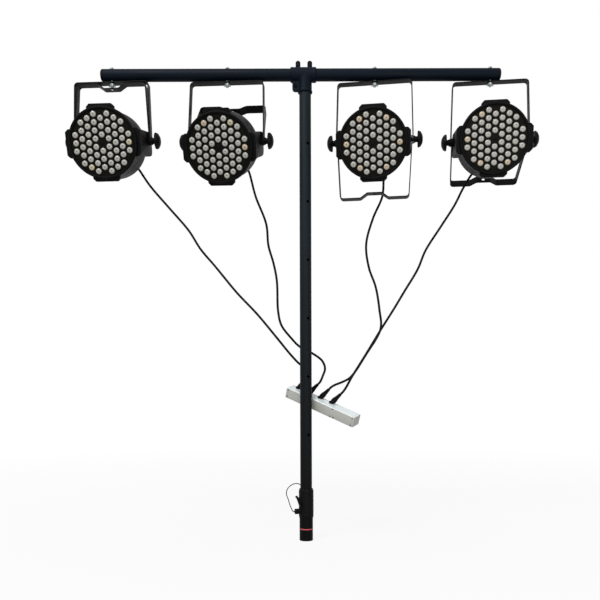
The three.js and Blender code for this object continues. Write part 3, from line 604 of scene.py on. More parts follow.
lampRows = {
    1: {"bolt": -564, "roll": -1, "yaw": -1.3, "pitch": 16.4, "swing": 0, "amber": [], "straw": [(4, 0), (-2, -3)]},
    2: {"bolt": -219, "roll": 1.1, "yaw": -5.8, "pitch": 23.5, "swing": 36, "amber": [(-2, 3), (4, 0)],
        "straw": [(2, 3)]},
    3: {"bolt": 221, "roll": 0.2, "yaw": -8.5, "pitch": 17.8, "swing": 180,
        "amber": [(-4, 0), (4, 0), (-2, 3), (2, 3), (-2, -3), (2, -3)], "straw": []},
    4: {"bolt": 566, "roll": 0.6, "yaw": -7.6, "pitch": 11.9, "swing": 116.5,
        "amber": [(-4, 0), (-2, 3), (-2, -3), (2, -3)], "straw": []},
}
bar = {"radius": 18, "wall": 2, "length": 1192, "height": 1390, "offset": -13, "strapGap": 4.6, "capLip": 8,
       "capSeat": 8.3}
pole = {"radius": 17.5, "wall": 2, "foot": 18, "top": 1370.1}
boltHole = 4.3
yoke = {"drop": 176.6, "width": 25, "thickness": 3}
pivotDrop = bar["radius"] + bar["strapGap"] + yoke["drop"]
for row in lampRows.values():
    row["hanger"] = moveBy(bar["offset"] + row["bolt"], 0, bar["height"]) @ turnBy(row["roll"], "Y")
    row["pan"] = row["hanger"] @ moveBy(0, 0, -pivotDrop) @ turnBy(row["yaw"], "Z")
    row["head"] = row["pan"] @ turnBy(row["pitch"], "X")
    row["floor"] = row["pan"] @ turnBy(-row["swing"], "X")

strip = {"length": 244, "height": 33, "depth": 38, "up": 401.9, "along": 48.9, "gap": 0.4,
         "endCap": 6.3, "swing": -29, "slope": 21.8, "tip": 16.1}
stripTurn = turnBy(strip["swing"], "Z") @ turnBy(strip["slope"], "Y") @ turnBy(strip["tip"], "X")


def stripPlace():
    # The strip leans on the back of the pole.
    turned = moveBy(strip["along"], 0, strip["up"]) @ stripTurn
    edge = turned @ Vector((0, -strip["depth"] / 2, strip["height"] / 2))
    along = stripTurn @ Vector((1, 0, 0))
    clear = pole["radius"] + strip["gap"]
    back = (clear * math.hypot(along.x, along.y) + along.y * edge.x) / along.x - edge.y
    return moveBy(strip["along"], back, strip["up"]) @ stripTurn


stripAt = stripPlace()
socket = {"first": -98, "pitch": 40.9, "side": 9.2, "hole": 3.3, "depth": 8.3}
plug = {"lean": 31, "length": 43, "base": 8.6, "radius": 8.2}


def socketPlace(number):
    return moveBy(socket["first"] + (number - 1) * socket["pitch"], socket["side"], strip["height"] / 2)


def plugPlace(number):
    return stripAt @ socketPlace(number)


# Cords: the free run of each, from below its gland to above its plug

cord = {"radius": 3.5, "straight": 13, "gap": 0.3, "headRun": 210, "spacing": 5}
gland = {"side": 14, "drop": 22.4, "seat": 62.3, "nut": 11, "end": 88.3}
cordRoutes = {
    1: [(-557, 117, 1200), (-551, 123, 1186), (-541, 112, 1165), (-523, 96, 1146), (-484, 91, 1089),
        (-426, 86, 1021), (-361, 81, 945), (-325, 78, 888), (-278, 74, 832), (-211, 68, 750),
        (-150, 62, 685), (-89, 55, 611), (-47, 49, 559), (-21, 45, 531), (-4, 42, 518), (9, 38, 507),
        (15, 33, 497)],
    2: [(-208, 114, 1213), (-204, 123, 1200), (-196, 119, 1177), (-187, 107, 1155), (-176, 97, 1135),
        (-154, 86, 1053), (-121, 78, 965), (-114, 72, 897), (-98, 67, 840), (-88, 62, 786),
        (-84, 53, 691), (-74, 48, 648), (-46, 42, 610), (-18, 36, 581), (19, 31, 561), (49, 25, 538),
        (58, 17, 514), (51, 11, 491)],
    3: [(238, 114, 1204), (241, 122, 1188), (244, 113, 1155), (245, 100, 1125), (245, 93, 1098),
        (240, 86, 1051), (210, 77, 981), (188, 68, 899), (195, 60, 827), (215, 50, 764),
        (225, 38, 692), (227, 28, 634), (182, 15, 556), (133, 4, 486), (106, -1, 471), (88, -4, 464)],
    4: [(578, 113, 1193), (575, 119, 1180), (560, 110, 1158), (541, 99, 1142), (522, 90, 1124),
        (492, 84, 1077), (464, 79, 1023), (420, 72, 955), (370, 62, 878), (345, 55, 820),
        (301, 44, 748), (266, 33, 691), (227, 18, 631), (179, -2, 554), (134, -17, 483), (119, -22, 456)],
}
lanyardRoute = [(-15, 21, 162), (-29, 20, 167), (-46, 13, 162), (-57, 6, 150), (-59, 2, 138), (-53, -5, 121),
                (-47, -11, 103)]


def smoothRun(points, spacing):
    # A centripetal curve through the points, measured out in even steps.
    points = [Vector(point) for point in points]
    points = [2 * points[0] - points[1], *points, 2 * points[-1] - points[-2]]
    dense, samples = [], 24
    for a, b, c, d in zip(points, points[1:], points[2:], points[3:]):
        before, middle, after = (math.sqrt((q - p).length) for p, q in ((a, b), (b, c), (c, d)))
        leave = ((b - a) / before - (c - a) / (before + middle) + (c - b) / middle) * middle
        arrive = ((c - b) / middle - (d - b) / (middle + after) + (d - c) / after) * middle
        for step in range(samples):
            t = step / samples
            dense.append(b + leave * t + (3 * (c - b) - 2 * leave - arrive) * t ** 2
                         + (2 * (b - c) + leave + arrive) * t ** 3)
    dense.append(points[-2])
    lengths = distances(dense)
    count = max(2, round(lengths[-1] / spacing))
    run, k = [], 0
    for i in range(count + 1):
        target = lengths[-1] * i / count
        while k < len(dense) - 2 and lengths[k + 1] < target:
            k += 1
        share = (target - lengths[k]) / max(1e-9, lengths[k + 1] - lengths[k])
        run.append(dense[k].lerp(dense[k + 1], min(1, share)))
    return run


def ribs(count, level, reach, pitch, taper, width, depth):
    # The rings of a strain relief, with a neck that is thinner by the depth after each.
    corners = []
    for i in range(count):
        foot, out = level + i * pitch, reach - i * taper
        corners += [(out, foot, 0.3), (out, foot + width, 0.3), (out - depth, foot + width + 0.1),
                    (out - depth, foot + pitch - 0.1)]
    return corners


def plugMesh():
    bm = bmesh.new()
    end, base = plug["length"], plug["base"]
    body = [(0, 3), (5, 3.4), (7.3, 5, 1.5), (plug["radius"], 9, 2), (8, 17, 4), (6.6, 24, 3),
            *ribs(5, 26, 6.2, pitch=3.1, taper=0.3, width=1.7, depth=0.8), (4.9, end - 1, 0.4), (4.5, end), (0, end)]
    lathe(bm, body, turnBy(plug["lean"], "Y"), 32)
    lathe(bm, [(0, 0.3), (base, 0.3, 0.3), (base, 4, 1.2), (0, 4)], sides=40)
    lathe(bm, [(0, -8), (3, -7.4), (3, 3.5), (0, 3.5)], sides=20, slot=1)
    return makeMesh("plug", bm, ["rubber", "brass"])


def glandMesh():
    bm = bmesh.new()
    seat, end, reach = gland["seat"], gland["end"], gland["nut"]
    sixths = [math.radians(60 * i) for i in range(6)]
    nut = [(reach * math.cos(turn), reach * math.sin(turn), 1) for turn in sixths]
    prism(bm, rounded(nut, closed=True), seat, seat + 6, alongBeam, 0.8)
    body = [(0, 64), (8.4, 64), (8.4, 71, 0.6), (7.6, 71.6), (7.6, 73, 0.4), (8, 73.4), (8, 79, 1.2),
            *ribs(3, 80, 6.9, pitch=2.6, taper=0.7, width=1.4, depth=0.9), (4.6, end), (0, end)]
    lathe(bm, body, alongBeam, 32)
    return makeMesh("gland", bm, ["moulded"])


def makeCords():
    plugs, glands = plugMesh(), glandMesh()
    turn = round(cord["headRun"] / cord["spacing"])
    for i, row in lampRows.items():
        tip = row["head"] @ moveBy(gland["side"], 0, -gland["drop"])
        lampPlug = dress(place(f"lamp{i}Plug", plugs, plugPlace(i)), "mast", "rubber", f"lamp_{i}_plug")
        dress(place(f"lamp{i}Gland", glands, tip), f"lamp_{i}_head", "black_plastic", f"lamp_{i}_gland")
        plugAt = plugPlace(i) @ turnBy(plug["lean"], "Y")
        near, off = cord["gap"], cord["straight"]
        run = smoothRun([
            *(tip @ Vector((0, gland["end"] + far, 0)) for far in (near, off)), *cordRoutes[i],
            *(plugAt @ Vector((0, 0, plug["length"] + far)) for far in (off, near)),
        ], cord["spacing"])
        for part, points, bodies, extra in (
            ("Head", run[:turn + 1], (f"lamp_{i}_head", f"lamp_{i}_yoke"), []),
            ("Stand", run[turn:], (f"lamp_{i}_yoke", "mast"), [lampPlug]),
        ):
            bm = bmesh.new()
            sweep(bm, points, cord["radius"])
            piece = place(f"lamp{i}Cord{part}", makeMesh("cord", bm, ["rubber"]))
            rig.blend(piece, *bodies, start=points[0] * mm, end=points[turn] * mm)
            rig.slot(piece, "rubber")
            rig.replaces(piece, f"lamp_{i}_cord")
            path = [point * mm for point in points]
            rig.cord(piece, exit=path[0], length=distances(path)[-1], diameter=2 * cord["radius"] * mm,
                    far_end="plug" if extra else "object", stiffness="medium", lay="hanging",
                    path=path, with_pieces=extra)


makeCords()
print("cords and plugs made")


# Crossbar and tee

def makeCrossbar():
    low = bar["offset"] - bar["length"] / 2
    high = bar["offset"] + bar["length"] / 2
    bm, cutters = bmesh.new(), bmesh.new()
    tube(bm, bar["radius"] - bar["wall"], bar["radius"], low + bar["capSeat"], high - bar["capSeat"], (0.4, 0.4),
         moveBy(0, 0, bar["height"]) @ alongX)
    for row in lampRows.values():
        rod(cutters, boltHole, -22, 22, row["hanger"])
    mesh = carve(makeMesh("crossbar", bm, ["powderCoat"]), cutters)
    dress(place("barTube", mesh), "mast", "black_steel", "crossbar")
    lip = bar["capLip"]
    cap = [(0, 7.2), (9, 7.2, 2), (10, lip, 0.6), (14.5, lip, 3.4), (18, 4.4, 3), (18, 0.6, 0.5), (17.4, 0),
           (15.7, 0, 0.2), (15.2, -15, 1), (13, -16), (0, -16)]
    for name, end, side, node in (("barCapLeft", low, -1, "crossbar_cap_left"),
                                  ("barCapRight", high, 1, "crossbar_cap_right")):
        bm = bmesh.new()
        lathe(bm, cap, moveBy(end - side * lip, 0, bar["height"]) @ turnBy(90 * side, "Y"))
        addPiece(name, bm, "moulded", "mast", "black_plastic", node)


tee = {"middle": -5.2, "half": 39, "radius": 21.7, "barBore": 18.3, "socket": 20.2, "poleBore": 17.8, "foot": 1335,
       "slit": 1.8, "ear": (-29.2, 1355.75), "earSide": 8.3, "screws": {"Left": -21, "Right": 14.2},
       "voxel": 0.9, "softening": 5}


def makeTee():
    bm = bmesh.new()
    half, radius, foot, out = tee["half"], tee["radius"], tee["foot"], tee["socket"]
    barAt = moveBy(tee["middle"], 0, bar["height"]) @ alongX
    end = [(0, half), (radius - 2.2, half, 0.8), (radius + 0.4, half - 3, 1.5), (radius + 0.4, half - 7, 2),
           (radius, half - 9, 2)]
    lathe(bm, [(reach, -along, *edge) for reach, along, *edge in end] + end[::-1], barAt, 96)
    lathe(bm, [(0, foot), (out + 0.4, foot, 0.8), (out + 1.6, foot + 1.6, 1), (out + 1.6, foot + 5, 1.5),
               (out, foot + 8, 2), (out, 1366, 6), (out + 1, 1384), (0, 1384)], here, 96)
    ear = rounded([(-5, 1341), (-38.2, 1341, 9), (-38.2, 1370.5, 7), (-28, 1373, 8), (-5, 1378)], closed=True)
    prism(bm, ear, -8, 8, forward, 1.5)
    for across in tee["screws"].values():
        lathe(bm, [(0, 1400), (9.2, 1400), (8.6, 1411.6, 0.8), (0, 1411.6)], moveBy(across, 0, 0), 48)
    casting = fused(makeMesh("tee", bm, ["powderCoat"]), tee["voxel"], tee["softening"])
    barBore, poleBore, slit = bmesh.new(), bmesh.new(), bmesh.new()
    rod(barBore, tee["barBore"], -60, 60, barAt, 96)
    rod(poleBore, tee["poleBore"], 1300, 1380, sides=96)
    prism(slit, [(-45, 1300), (-16, 1300), (-16, 1372), (-45, 1372)], -tee["slit"] / 2, tee["slit"] / 2, forward, 0.1)
    for cutter in (barBore, poleBore, slit):
        casting = carve(casting, cutter, 50)
    dress(place("teeCasting", casting), "mast", "black_steel", "tee_casting")
    for side, across in tee["screws"].items():
        bm = bmesh.new()
        lathe(bm, [(0, 14.4), (3, 14.4), (3, 22, 0.3), (7.5, 22, 0.5), (7.5, 37.6, 4.5), (3.2, 42, 0.6),
                   (3.2, 38, 0.3), (0, 38)], moveBy(across, 0, bar["height"]), 48,
              lobes=(12, 0.35, 6.8), steps=6)
        addPiece(f"teeScrew{side}", bm, "powderCoat", "mast", "black_steel", f"tee_screw_{side.lower()}")
    bm = bmesh.new()
    across, up = tee["ear"]
    front = moveBy(across, -tee["earSide"], up) @ forward
    rod(bm, 3, -15.9, 0.4, front)
    lathe(bm, [(0, 0), (5.5, 0, 0.2), (5.5, 3.6, 0.8), (2.8, 3.8, 0.3), (2.4, 1.2), (0, 1.2)], front, 32)
    addPiece("teeClampScrew", bm, "strapSteel", "mast", "black_steel", "tee_clamp_screw")


makeCrossbar()
makeTee()
print("crossbar and tee made")


# Pole, lower tube, collar and fasteners

holes = {"radius": 4.5, "count": 6, "first": 315, "pitch": 173.2, "turn": 25}
lowerTube = {"radius": 20, "bore": 18, "bottom": 4.3, "top": 100, "band": (33, 36.4)}
gripBush = {"bore": 17.8, "radius": 20, "bottom": 100.3, "top": 147.7}
collar = {"bottom": 68, "top": 155, "bore": 20.3, "mouth": 18, "lip": 7, "radius": 22, "slit": 1.2, "slitTurn": -13}
# A boss on the collar is (radius, rise, spread of its root).
clampKnob = {"height": 117, "turn": 40, "hole": 4.3, "boss": (7, 2, 1.2), "seat": 24.3, "wingTurn": 30}
lockPin = {"height": 87.5, "turn": 20, "hole": 3.3, "boss": (6.5, 3.5, 3.2), "seat": 25.8, "end": 35.8}


def makePole():
    bm, cutters = bmesh.new(), bmesh.new()
    tube(bm, pole["radius"] - pole["wall"], pole["radius"], pole["foot"], pole["top"], (0.4, 0.4))
    for i in range(holes["count"]):
        at = moveBy(0, 0, holes["first"] + i * holes["pitch"]) @ turnBy(holes["turn"], "Z") @ forward
        rod(cutters, holes["radius"], 5, 22, at, 28)
    mesh = carve(makeMesh("pole", bm, ["poleCoat"]), cutters)
    dress(place("poleTube", mesh), "mast", "black_steel", "pole")


def onCollar(fitting):
    # Z runs out from the collar's side.
    return moveBy(0, 0, fitting["height"]) @ turnBy(fitting["turn"], "Z") @ turnBy(-90, "Y")


knobAt, pinAt = onCollar(clampKnob), onCollar(lockPin)


def makeStand():
    out, bore = lowerTube["radius"], lowerTube["bore"]
    bm, cutters = bmesh.new(), bmesh.new()
    tube(bm, bore, out, lowerTube["bottom"], lowerTube["top"], (0.3, 0.5))
    rod(cutters, lockPin["hole"], 5, 30, pinAt)
    mesh = carve(makeMesh("lowerTube", bm, ["tubeCoat"]), cutters)
    dress(place("lowerTube", mesh), "stand", "black_steel", "lower_tube")
    bm = bmesh.new()
    tube(bm, out + 0.05, out + 0.3, *lowerTube["band"], (0.1, 0.1))
    addPiece("redBand", bm, "redTape", "stand", "black_steel")
    bm = bmesh.new()
    lathe(bm, [(0, 1.2), (11, 1.2, 1), (12.5, 0, 0.5), (out, 0, 1.2), (out, 4, 0.3), (17.7, 4), (17.7, 13, 0.8),
               (15.2, 13, 0.5), (15.2, 4), (0, 4)], here, 96)
    addPiece("basePlug", bm, "moulded", "stand", "black_plastic", "base_plug")
    bm = bmesh.new()
    tube(bm, gripBush["bore"], gripBush["radius"], gripBush["bottom"], gripBush["top"], (0.5, 0.5))
    addPiece("gripBush", bm, "moulded", "grip_bush", "black_plastic", "grip_bush")


def makeCollar():
    low, high, radius = collar["bottom"], collar["top"], collar["radius"]
    bore, mouth, shelf, groove = collar["bore"], collar["mouth"], high - collar["lip"], radius - 0.5
    bm, cutters = bmesh.new(), bmesh.new()
    lathe(bm, [(bore, low), (21, low, 0.3), (radius, low + 8, 3), (radius, low + 12, 0.5),
               (groove, low + 12.6, 0.4), (groove, low + 14, 0.4), (radius, low + 14.6, 0.5),
               (radius, high - 19, 0.5), (groove, high - 18.4, 0.4), (groove, high - 17, 0.4),
               (radius, high - 16.4, 0.5), (radius, high - 7.5, 3), (radius - 2.2, high, 1.6),
               (mouth, high, 0.4), (mouth, shelf), (bore, shelf)], here, 96, closed=True)
    half = collar["slit"] / 2
    slit = [(-half, -26), (half, -26), (half, -18.5), (-half, -18.5)]
    prism(cutters, slit, shelf, high + 2, turnBy(collar["slitTurn"], "Z"), 0.05)
    for at, fitting in ((knobAt, clampKnob), (pinAt, lockPin)):
        reach, rise, root = fitting["boss"]
        lathe(bm, [(0, 20.6), (reach + root, 20.6), (reach + root - 1, radius + 1, 1),
                   (reach + root / 3, radius + rise, 0.8), (0, radius + rise)], at, 40)
        rod(cutters, fitting["hole"], 19, 30, at, 28)
    mesh = carve(makeMesh("collar", bm, ["moulded"]), cutters, overlapping=True)
    dress(place("clampCollar", mesh), "stand", "black_plastic", "clamp_collar")


def makeFasteners():
    bm = bmesh.new()
    seat = clampKnob["seat"]
    lathe(bm, [(0, 20.3), (4, 20.3), (4, seat, 0.2), (7, seat, 0.4), (7, seat + 3, 1), (4, seat + 4),
               (0, seat + 4)], knobAt, 32)
    half = [(0, 6.6, 1), (3.5, 14, 3), (6.6, 19.5, 1.4), (9.5, 18.7, 1.6), (6.5, 13.3, 3), (3.6, 7, 3)]
    wings = half + [(3.2, 0, 2)] + [(out, -side, edge) for out, side, edge in reversed(half)]
    outline = rounded([(seat + out, *rest) for out, *rest in wings], closed=True)
    # The wings' outline lies in a plane through the stem, turned about it.
    prism(bm, outline, -4.5, 4.5, knobAt @ turnBy(clampKnob["wingTurn"], "Z") @ sideways.transposed(), 1.6)
    addPiece("collarKnob", bm, "moulded", "collar_knob", "black_plastic", "collar_knob")
    bm = bmesh.new()
    seat, end = lockPin["seat"], lockPin["end"]
    lathe(bm, [(0, 18), (3, 18, 0.5), (3, seat), (7.6, seat, 0.8), (8.5, seat + 2, 0.8), (8.5, seat + 3.5, 0.5),
               (7.7, seat + 4.2, 0.4), (7.7, seat + 5.6, 0.4), (8.5, seat + 6.3, 0.5), (8.5, seat + 8.6, 1.4),
               (6.2, end, 0.8), (2.2, end, 0.3), (1.8, end - 0.8), (0, end - 0.8)],
          pinAt, 48, lobes=(16, 0.5, 7))
    addPiece("lockingPin", bm, "moulded", "locking_pin", "black_plastic", "locking_pin")


lanyard = {"radius": 1.3, "start": 18.7, "side": 118, "straight": 5.2, "gap": 0.3, "spacing": 3, "fixed": 0.3}


def makeLanyard():
    side = math.radians(lanyard["side"])
    start = Vector((math.cos(side), math.sin(side), 0)) * lanyard["start"]
    foot = start + Vector((0, 0, collar["top"] + lanyard["gap"]))
    beyond, tip = (pinAt @ Vector((0, 0, lockPin["end"] + lanyard[key])) for key in ("straight", "gap"))
    run = smoothRun([foot, foot + Vector((0, 0, lanyard["straight"] / 2)), *lanyardRoute, beyond, tip],
                    lanyard["spacing"])
    bm = bmesh.new()
    sweep(bm, run, lanyard["radius"], 14)
    piece = place("pinLanyard", makeMesh("pinLanyard", bm, ["moulded"]))
    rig.blend(piece, "stand", "locking_pin", start=run[round(len(run) * lanyard["fixed"])] * mm, end=run[-3] * mm)
    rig.slot(piece, "black_plastic")
    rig.replaces(piece, "pin_lanyard")
    path = [point * mm for point in run]
    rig.cord(piece, exit=path[0], length=distances(path)[-1], diameter=2 * lanyard["radius"] * mm, far_end="object",
            stiffness="stiff", lay="loose", path=path)


makePole()
makeStand()
makeCollar()
makeFasteners()
makeLanyard()
print("pole and collar made")


# Power strip

stripScrews = [(-115.5, 11), (-115.5, -10), (46, 12.3), (42, -13), (53.5, -11.5), (115.5, 10), (114.5, -11.5)]


def makeStrip():
    end, halfDepth, halfHeight = strip["length"] / 2, strip["depth"] / 2, strip["height"] / 2
    joint = end - strip["endCap"]
    outline = roundedBox(-halfDepth, -halfHeight, halfDepth, halfHeight, 2.6, steps=5)
    half = [(joint - 0.35, 0), (joint - 0.3, 0.5), (joint + 0.3, 0.5), (joint + 0.35, 0), (end - 0.9, 0),
            (end - 0.3, 0.3), (end, 0.9)]
    stations = [(-station, depth) for station, depth in reversed(half)] + half
    bm, cutters = bmesh.new(), bmesh.new()
    skin(bm, [[sideways @ Vector((y, z, station)) for y, z in inset(outline, depth)] for station, depth in stations])
    for i in lampRows:
        rod(cutters, socket["hole"], -socket["depth"], 3, socketPlace(i))
    inlet = rounded([(-10, -7, 2), (10, -7, 2), (10, 7, 4), (-10, 7, 4)], closed=True)
    prism(cutters, inlet, -end - 3, -end + 10, sideways, 0.1)
    mesh = carve(makeMesh("strip", bm, ["anodised"]), cutters)
    dress(place("stripBody", mesh, stripAt), "mast", "aluminium", "power_strip")
    bm = bmesh.new()
    for across, up in stripScrews:
        screwHead(bm, moveBy(across, -halfDepth, up) @ forward, 1.9, 0.7)
    for pin in ((0, -4), (0, 4), (-3, 0)):
        lathe(bm, [(0, -112.1), (0.9, -112.1), (0.9, -118), (0, -118.4)], alongX @ moveBy(*pin, 0), 12, 1)
    dress(place("stripFittings", makeMesh("stripFittings", bm, ["moulded", "brass"]), stripAt), "mast", "aluminium")


makeStrip()
print("power strip made")


# Lamps

bezel = {"front": 116.5, "back": 94, "radius": 98, "inner": 90.3, "seat": 86.3, "ledge": 110.2, "screws": 94,
         "sections": 144, "reach": (106.5, 104.5), "half": 39, "corner": 8, "setback": 8,
         "span": 0.6}
pivotRise = 10
belowPivot = moveBy(0, 0, -pivotRise)


def lugReach(angle):
    # How far out a lug stands at an angle round the face, or the rim's radius between lugs.
    best = bezel["radius"]
    for quarter in range(4):
        turn = (angle - quarter * math.pi / 2 + math.pi) % (2 * math.pi) - math.pi
        if abs(turn) > bezel["span"]:
            continue
        reach = bezel["reach"][quarter % 2]
        lines = [reach / math.cos(turn)]
        if abs(turn) > 1e-6:
            side = abs(math.sin(turn))
            lines.append(bezel["half"] / side)
            lines.append((reach - bezel["corner"] + bezel["half"]) / (side + math.cos(turn)))
        best = max(best, min(lines))
    return best


def bezelAngles():
    # A section stands at each: evenly round the rim, and close together where a lug turns.
    edge = math.asin(bezel["half"] / bezel["radius"])
    marks = set()
    for quarter in range(4):
        reach = bezel["reach"][quarter % 2]
        tip = math.atan2(bezel["half"], reach - bezel["corner"])
        chamfer = math.atan2(bezel["half"] - bezel["corner"], reach)
        for turn in (0, chamfer * 0.5, chamfer - 0.008, chamfer + 0.008, (chamfer + tip) / 2, tip - 0.006,
                     tip + 0.004, edge + 0.001, edge + 0.02, edge + 0.05):
            for side in (-1, 1):
                marks.add(round((quarter * math.pi / 2 + side * turn) % (2 * math.pi), 6))
    for i in range(bezel["sections"]):
        angle = 2 * math.pi * i / bezel["sections"]
        if all(abs(angle - mark) > 0.012 for mark in marks):
            marks.add(angle)
    return sorted(marks)


def bezelMesh():
    front, back, rim = bezel["front"], bezel["back"], bezel["radius"]
    inner, seat, ledge = bezel["inner"], bezel["seat"], bezel["ledge"]
    step = front - bezel["setback"]
    rings = []
    for angle in bezelAngles():
        reach = lugReach(angle)
        profile = [
            (seat, back), (seat, ledge), (inner, ledge), (inner, front - 2.2), (inner + 0.5, front - 0.9),
            (inner + 1.6, front - 0.2), (inner + 2.6, front), (rim - 3.2, front), (rim - 1.6, front - 0.4),
            (rim - 0.5, front - 1.4), (rim, front - 3), (rim, step + 0.8),
        ]
        if reach > rim + 0.3:
            last = max(reach, rim + 1)
            profile += [(rim + 0.6, step), (max(reach - 1.6, rim + 0.8), step),
                        (max(reach - 0.5, rim + 0.9), step - 0.4), (last, step - 1.6)]
        else:
            last = rim
            profile += [(rim, step - down) for down in (0, 0.5, 1, 1.6)]
        profile += [(last, back + 3), (last - 0.6, back + 2.4), (last - 0.6, back + 1.2), (last, back + 0.6),
                    (last - 0.4, back)]
        spot = Vector((math.cos(angle), 0, math.sin(angle)))
        rings.append([belowPivot @ (spot * radius + Vector((0, -depth, 0))) for radius, depth in profile])
    bm = bmesh.new()
    skin(bm, rings, looped=True)
    for quarter in range(4):
        turn = math.pi / 2 * quarter
        spot = moveBy(bezel["screws"] * math.cos(turn), -front, bezel["screws"] * math.sin(turn))
        screwHead(bm, belowPivot @ spot @ forward, 2.1, 0.8, 1)
    return makeMesh("bezel", bm, ["castShell", "strapSteel"], 40)


lens = {"pitch": 21.8, "radius": 8.75, "face": 113.5, "back": 110.5}


def lensPlaces():
    rows = [[1, 2, 3], [0.5, 1.5, 2.5, 3.5], [0, 1, 2, 3], [0.5, 1.5, 2.5], [0, 1]]
    spots = []
    for column in range(-4, 5):
        for height in rows[abs(column)]:
            for side in ((1,) if height == 0 else (-1, 1)):
                spots.append((column, side * height))
    return spots


def lensAt(column, height):
    across = column * math.sin(math.pi / 3) * lens["pitch"]
    return belowPivot @ moveBy(across, -lens["face"], height * lens["pitch"]) @ forward


def plateMesh():
    bm = bmesh.new()
    face, back = lens["face"], lens["back"]
    lathe(bm, [(0, -face), (84.5, -face, 0.5), (85.2, -face + 0.6, 0.3), (86.4, -face + 0.6, 0.3),
               (87, -face, 0.5), (89.9, -face, 0.4), (89.9, -back, 0.3), (0, -back)],
          belowPivot @ alongBeam, 128)
    collet = [(8.8, -0.4), (8.8, 1.3, 0.3), (9.9, 1.3, 0.5), (10.4, -0.4)]
    for spot in lensPlaces():
        lathe(bm, collet, lensAt(*spot), 28, closed=True, steps=3)
    screwHead(bm, lensAt(0, 0), 4, 2, 1, 28)
    lathe(bm, [(4.4, -0.2), (4.4, 0.7, 0.2), (6.4, 0.7, 0.4), (6.9, -0.2)], lensAt(0, 0), 32, closed=True)
    return makeMesh("plate", bm, ["facePlate", "strapSteel"])


def lensMesh(name, amber, straw):
    corners = [(0, 2.9), (1.6, 2.9, 0.3), (2.3, 3.5, 0.6), (4.4, 3.3, 4), (7, 2.3, 4), (8.5, 0.5, 1), (8.7, -0.6),
               (0, -0.6)]
    bm = bmesh.new()
    layer = bm.verts.layers.float.new("fromCentre")
    for spot in lensPlaces():
        at = lensAt(*spot)
        known = len(bm.verts)
        tint = 1 if spot in amber else 2 if spot in straw else 0
        lathe(bm, corners, at, 24, tint)
        bm.verts.ensure_lookup_table()
        back = at.inverted()
        for vertex in bm.verts[known:]:
            near = back @ vertex.co
            vertex[layer] = min(1, math.hypot(near.x, near.y) / lens["radius"])
    return makeMesh(name, bm, ["clear", "amber", "straw"], 50)


boss = {"front": -93.7, "bend": 8, "rear": 40, "low": -43, "high": 27, "taper": 3, "reach": 108, "flat": 16,
        "slope": 0.0538}


def bossRings(side):
    front, bend, rear, low, high = (boss[key] for key in ("front", "bend", "rear", "low", "high"))
    outline = rounded([(front, low, 3), (bend, low, 18), (rear, low + boss["taper"], 18),
                       (rear, high - boss["taper"], 18), (bend, high, 18), (front, high, 3)], closed=True, steps=8)
    rings = []
    # Each ring: (share of the outline, how far inside it, how deep below the boss's face).
    for share, trim, sink in ((1, 0, 26), (1, 0, 4), (1, 0.4, 2), (1, 1.4, 0.7), (1, 3, 0), (0.82, 3, 0), (0.6, 3, 0),
                              (0.36, 3, 0), (0.18, 3, 0)):
        ring = []
        for y, z in inset(outline, trim):
            spot = Vector((y * share, z * share))
            lean = max(0, spot.length - boss["flat"]) * boss["slope"]
            ring.append(Vector((side * (boss["reach"] - lean - sink), spot.x, spot.y)))
        rings.append(ring)
    return [*rings, [Vector((side * boss["reach"], 0, 0))]]


# Cooling slots lie in a ring on the rear's slope; the rear's middle and four screws are left clear of them.
vents = {"turns": [5 + 10 * i for i in range(36) if i % 9 not in (0, 8)], "out": 48.5, "back": 69.5, "slope": -42.3}
sideTrim = {"screws": ((-72, 14), (-72, -30)), "screwSeat": 104.1, "ridges": (-26, -17, -8, 1, 10),
            "ridgeSeat": 100.5, "ridgeRise": 5.3}
rearScrews = {"turns": (45, 135, 225, 315), "out": 42, "seat": 62}


def housingMesh():
    bm, cutters = bmesh.new(), bmesh.new()
    lathe(bm, [(0, 60.6), (30, 60.6, 1), (31, 62, 0.6), (50, 62, 5), (55, 61, 3), (82.5, 36, 8), (96, 9, 16),
               (96, -62, 0.6), (95.2, -62.8, 0.4), (95.2, -65.2, 0.4), (96, -66, 0.6), (96, -93.7, 0.4), (93, -93.7),
               (93, 8), (81, 32.5), (52, 59), (0, 59)], belowPivot @ alongBeam, 128)
    slot = roundedBox(-2.2, -11, 2.2, 11, 2.1)
    for turn in vents["turns"]:
        spot = moveBy(0, vents["out"], vents["back"]) @ turnBy(vents["slope"], "X")
        prism(cutters, slot, -4, 4, belowPivot @ turnBy(turn, "Y") @ spot, 0.2)
    carved = carve(makeMesh("housing", bm, ["castShell", "strapSteel"]), cutters)
    bm = bmesh.new()
    bm.from_mesh(carved)
    bmesh.ops.transform(bm, matrix=Matrix.Scale(1 / mm, 4), verts=bm.verts)
    for side in (-1, 1):
        skin(bm, bossRings(side))
        for spot in sideTrim["screws"]:
            screwHead(bm, moveBy(side * sideTrim["screwSeat"], *spot) @ turnBy(90 * side, "Y"), 2.6, 1.1, 1)
        at = Matrix.Diagonal((side, 1, 1, 1)) @ moveBy(sideTrim["ridgeSeat"], 0, 0) @ sideways
        for up in sideTrim["ridges"]:
            prism(bm, roundedBox(-66, up - 1.6, -30, up + 1.6, 1.5), 0, sideTrim["ridgeRise"], at, 0.8)
    for turn in rearScrews["turns"]:
        at = belowPivot @ turnBy(turn, "Y") @ moveBy(rearScrews["out"], rearScrews["seat"], 0) @ alongBeam
        screwHead(bm, at, 3, 1.2, 1)
    return makeMesh("housing", bm, ["castShell", "strapSteel"], 38)


